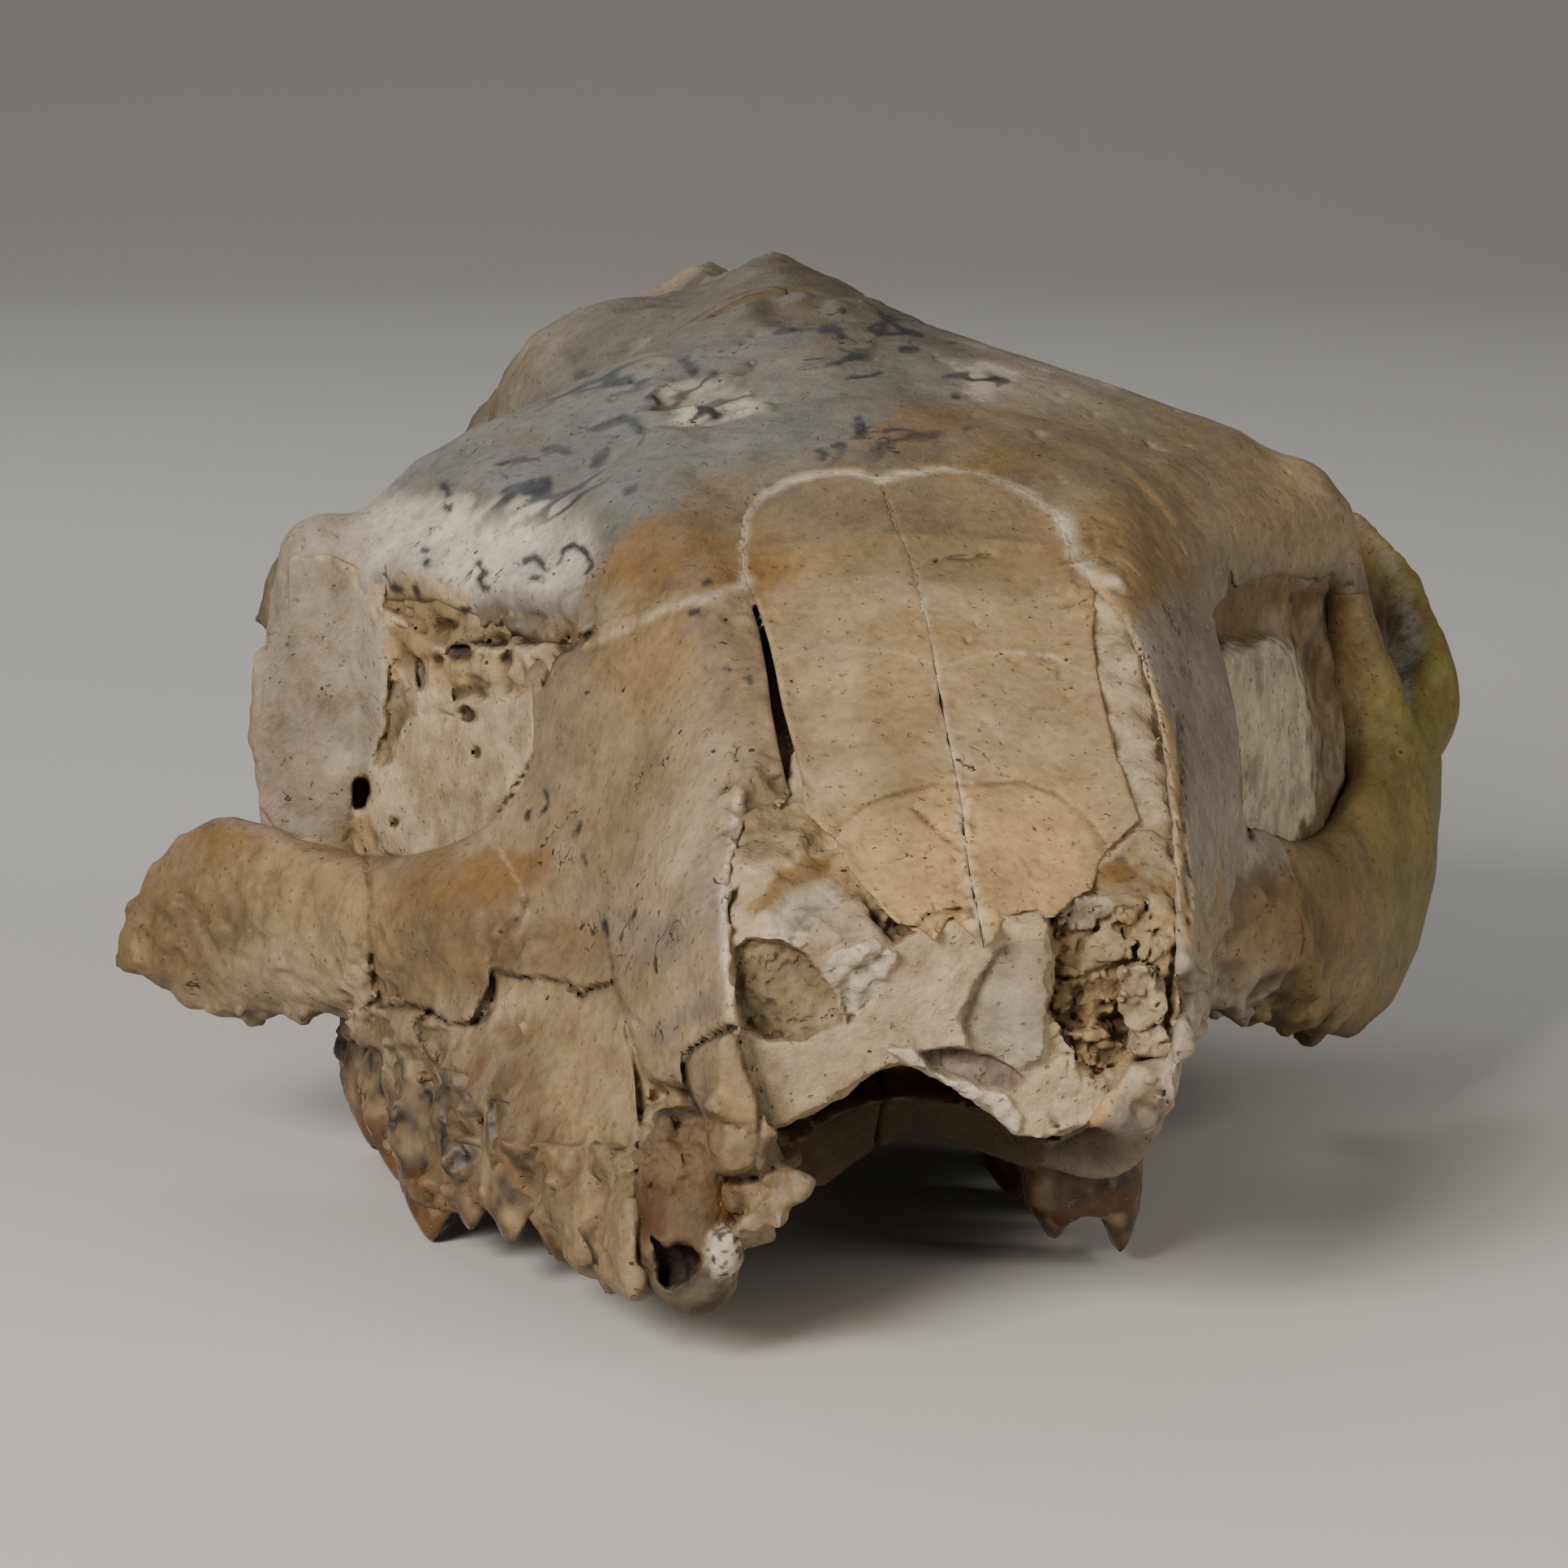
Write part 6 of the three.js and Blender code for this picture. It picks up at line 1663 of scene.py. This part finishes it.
def mineral_finish(name, roughness, level, grain_share, bump_mm, clouds, glossy=None):
    """Base colour: the mesh's tone, clouded, then inked, then given painted shade in the pores.
    Roughness is plain, or runs from glossy enamel to rough crust along the mesh's ink attribute."""
    material = bpy.data.materials.new(name)
    material.use_nodes = True
    tree = material.node_tree
    shader = tree.nodes["Principled BSDF"]
    shader.inputs["Specular IOR Level"].default_value = level
    shader.inputs["Roughness"].default_value = roughness
    place = add_node(tree, "ShaderNodeTexCoord").outputs["Object"]
    tone = add_node(tree, "ShaderNodeAttribute", attribute_name="tone").outputs["Color"]
    amount = add_node(tree, "ShaderNodeAttribute", attribute_name="ink").outputs["Fac"]
    relief = use_group(tree, relief_group, place)
    relief.inputs["Grain"].default_value = grain_share
    cloud = use_group(tree, cloud_group, place)
    cloud.inputs["Amount"].default_value = clouds
    tree.links.new(tone, cloud.inputs["Color"])
    colour = cloud.outputs["Color"]
    # The pores darken the tone towards umber: painted shade in the pits of the bump.
    masks = [(cloud.outputs["Stain"], 0.42, "umber"), (relief.outputs["Pores"], 0.45, "umber")]
    if glossy is None:
        ink = use_group(tree, ink_group, place)
        tree.links.new(amount, ink.inputs["Amount"])
        masks.append((ink.outputs["Mask"], 0.88, "soot"))
    else:
        shine = span_node(tree, amount, 0.25, 0.8)
        spread = math_node(tree, "MULTIPLY", shine, glossy - roughness)
        tree.links.new(math_node(tree, "ADD", spread, roughness), shader.inputs["Roughness"])
    for mask, strength, tone_name in masks:
        mix = add_node(tree, "ShaderNodeMix", data_type="RGBA")
        tree.links.new(math_node(tree, "MULTIPLY", mask, strength), mix.inputs[0])
        tree.links.new(colour, mix.inputs[6])
        mix.inputs[7].default_value = (*TONES[tone_name], 1)
        colour = mix.outputs[2]
    tree.links.new(colour, shader.inputs["Base Color"])
    bump = add_node(tree, "ShaderNodeBump", Strength=0.7, Distance=bump_mm * MM)
    tree.links.new(relief.outputs["Height"], bump.inputs["Height"])
    tree.links.new(bump.outputs["Normal"], shader.inputs["Normal"])
    return material


FINISHES = {"bone": mineral_finish("bone_finish", 0.55, 0.26, 0.4, 0.26, 2.2),
            "sediment": mineral_finish("sediment_finish", 0.85, 0.15, 0.8, 0.3, 1.8),
            "crusted_tooth": mineral_finish("crust_finish", 0.75, 0.35, 0.7, 0.2, 1.6, 0.42),
            "enamel": mineral_finish("enamel_finish", 0.6, 0.5, 0.25, 0.1, 1.4, 0.18)}
print("finishes:", ", ".join(FINISHES))

# %% Making a piece
def thin_hidden(piece, hidden):
    """Collapses the net where nobody sees it, between two pieces: a Decimate modifier that works
    only on the hidden points and leaves about a tenth of them."""
    group = piece.vertex_groups.new(name="hidden")
    group.add(np.flatnonzero(hidden).tolist(), 1.0, "REPLACE")
    thin = piece.modifiers.new("thin_hidden", "DECIMATE")
    thin.vertex_group = group.name
    thin.vertex_group_factor = 10.0
    thin.ratio = 1.0 - 0.9 * float(hidden.mean())
    bpy.context.view_layer.objects.active = piece
    bpy.ops.object.modifier_apply(modifier=thin.name)
    piece.vertex_groups.clear()


def build_piece(name, field, low, high, step, paint, slot, node, unseen=None):
    """Draws a net over the field, keeps its largest shell, paints its points and gives it the
    slot's finish. It rides on the skull and takes the place of a node of the plain solid."""
    t = time.time()
    values = sample_field(field, low, high, step)
    points, faces = surface_net(values, low, step)
    points, faces = largest_shell(points, faces)
    piece = make_mesh(name, points, faces)
    colour, ink = paint(points)
    tone = piece.data.attributes.new("tone", "FLOAT_COLOR", "POINT")
    opaque = np.hstack([colour, np.ones((len(points), 1))])
    tone.data.foreach_set("color", opaque.astype(np.float32).ravel())
    amount = piece.data.attributes.new("ink", "FLOAT", "POINT")
    amount.data.foreach_set("value", ink.astype(np.float32))
    piece.data.materials.append(FINISHES[slot])
    if unseen is not None:
        thin_hidden(piece, unseen(points))
    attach(piece, "root")
    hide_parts(node)
    piece.data.calc_loop_triangles()
    count = len(piece.data.loop_triangles)
    print(f"{name}: {count} triangles, {time.time() - t:.1f} s")
    return count


# %% [markdown]
# ## The bones
# Every bone is the joined form with its relief, cut to its cell. The finest nets go to the
# nose and the right side of the face, which are seen best, and the coarsest to the back.

# %% The eight bones
def all_bone_field(p):
    """The joined form with its relief near the surface and its open gaps."""
    f = bone_field(p)
    near = np.abs(f) < 4
    f[near] += surface_relief(p[near])
    gap = f < 3
    q = p[gap]
    uv, unit = chart(q)
    opening = np.maximum(ring_distance(uv, GAP) * unit, -loft_field(q, face_loft) - 5)
    lost = ring_distance(uv, LOST_CORNER, 200) * unit + 0.4 * rough(q, 2.4, 3, 18)
    f[gap] = soft_cut(f[gap], np.minimum(opening, np.maximum(lost, q[:, 1] - 30)), 0.3)
    return f


def bone_piece(name):
    """The field of one bone: all the bone, cut to the cell, which is worked out only inside."""
    def field(p):
        f = all_bone_field(p)
        inside = f < 2
        f[inside] = np.maximum(f[inside], cell_of(name, p[inside]))
        return f
    return field


BONES = {
    "right_nasal_bone": ((-17, -3, 32), (5, 62, 72), 0.3),
    "left_nasal_bone": ((-3, -3, 32), (20, 62, 72), 0.3),
    "frontal_bones": ((-54, 44, 46), (54, 116, 86), 0.42),
    "right_jugal_bone": ((-69, 62, 5), (-35, 104, 62), 0.42),
    "left_jugal_and_arch": ((24, 52, 5), (69, 162, 62), 0.55),
    "right_maxilla": ((-50, -2, 0), (-2, 82, 72), 0.42),
    "left_maxilla": ((-6, -2, 0), (42, 82, 72), 0.5),
    "braincase": ((-52, 70, -1), (42, 184, 86), 0.85),
}
triangles = 0
for name, (low, high, step) in BONES.items():
    triangles += build_piece(name, bone_piece(name), low, high, step,
                             lambda p, name=name: paint_bone(p, PIECE_TONES[name]), "bone", "cranium",
                             lambda p: all_bone_field(p) < -0.5)

# %% The sediment
# The nose's sediment is two pieces, because only its front needs a fine net: the y between them.
SPLIT = 13.0


def paint_nose(p):
    """The colours of the sediment in the broken nose."""
    return paint_sediment(p, "cream", BREAK_PATCHES, 50)


triangles += build_piece("nasal_sediment",
                         lambda p: np.maximum(sediment_field(p), p[:, 1] - SPLIT - 0.3),
                         (-24, -3, 12), (24, 15, 50), 0.25,
                         paint_nose, "sediment", "nasal_matrix",
                         lambda p: (p[:, 2] > 24) & (p[:, 1] > break_map(p, chart(p)[0]) + 1.5))
triangles += build_piece("nasal_sediment_behind",
                         lambda p: np.maximum(sediment_field(p), SPLIT - p[:, 1]),
                         (-24, 12, 12), (24, 64, 66), 0.7,
                         paint_nose, "sediment", "nasal_matrix")
triangles += build_piece("right_orbit_sediment", right_orbit_field, (-67, 50, 26), (-14, 100, 63), 0.42,
                         lambda p: paint_sediment(p, "cream", RIGHT_SLABS, 64), "sediment",
                         "right_orbit_matrix")
triangles += build_piece("left_orbit_sediment", left_orbit_field, (14, 50, 26), (66, 100, 63), 0.5,
                         lambda p: paint_sediment(p, "bark", LEFT_SLABS, 74), "sediment",
                         "left_orbit_matrix")

# %% The teeth
triangles += build_piece("right_canine_stump", canine_field, (-29, 1, 2), (-16, 15, 21), 0.22,
                         paint_canine, "crusted_tooth", "right_canine")
for name, (x, y, half_x, half_y, *_) in CHEEK_TEETH.items():
    slot = "crusted_tooth" if name in ("right_premolar_1", "right_premolar_2") else "enamel"
    reach_x, reach_y = half_x + 1.6, half_y + 1.6
    triangles += build_piece(name + "_crown", cheek_tooth_field(name),
                             (x - reach_x, y - reach_y, -0.5), (x + reach_x, y + reach_y, TOOTH_TOP + 1),
                             0.32 if x < 0 else 0.45,
                             lambda p, slot=slot: paint_tooth(p, slot == "crusted_tooth"), slot, name)
print(triangles, "triangles in all,", round(time.time() - started), "s so far")
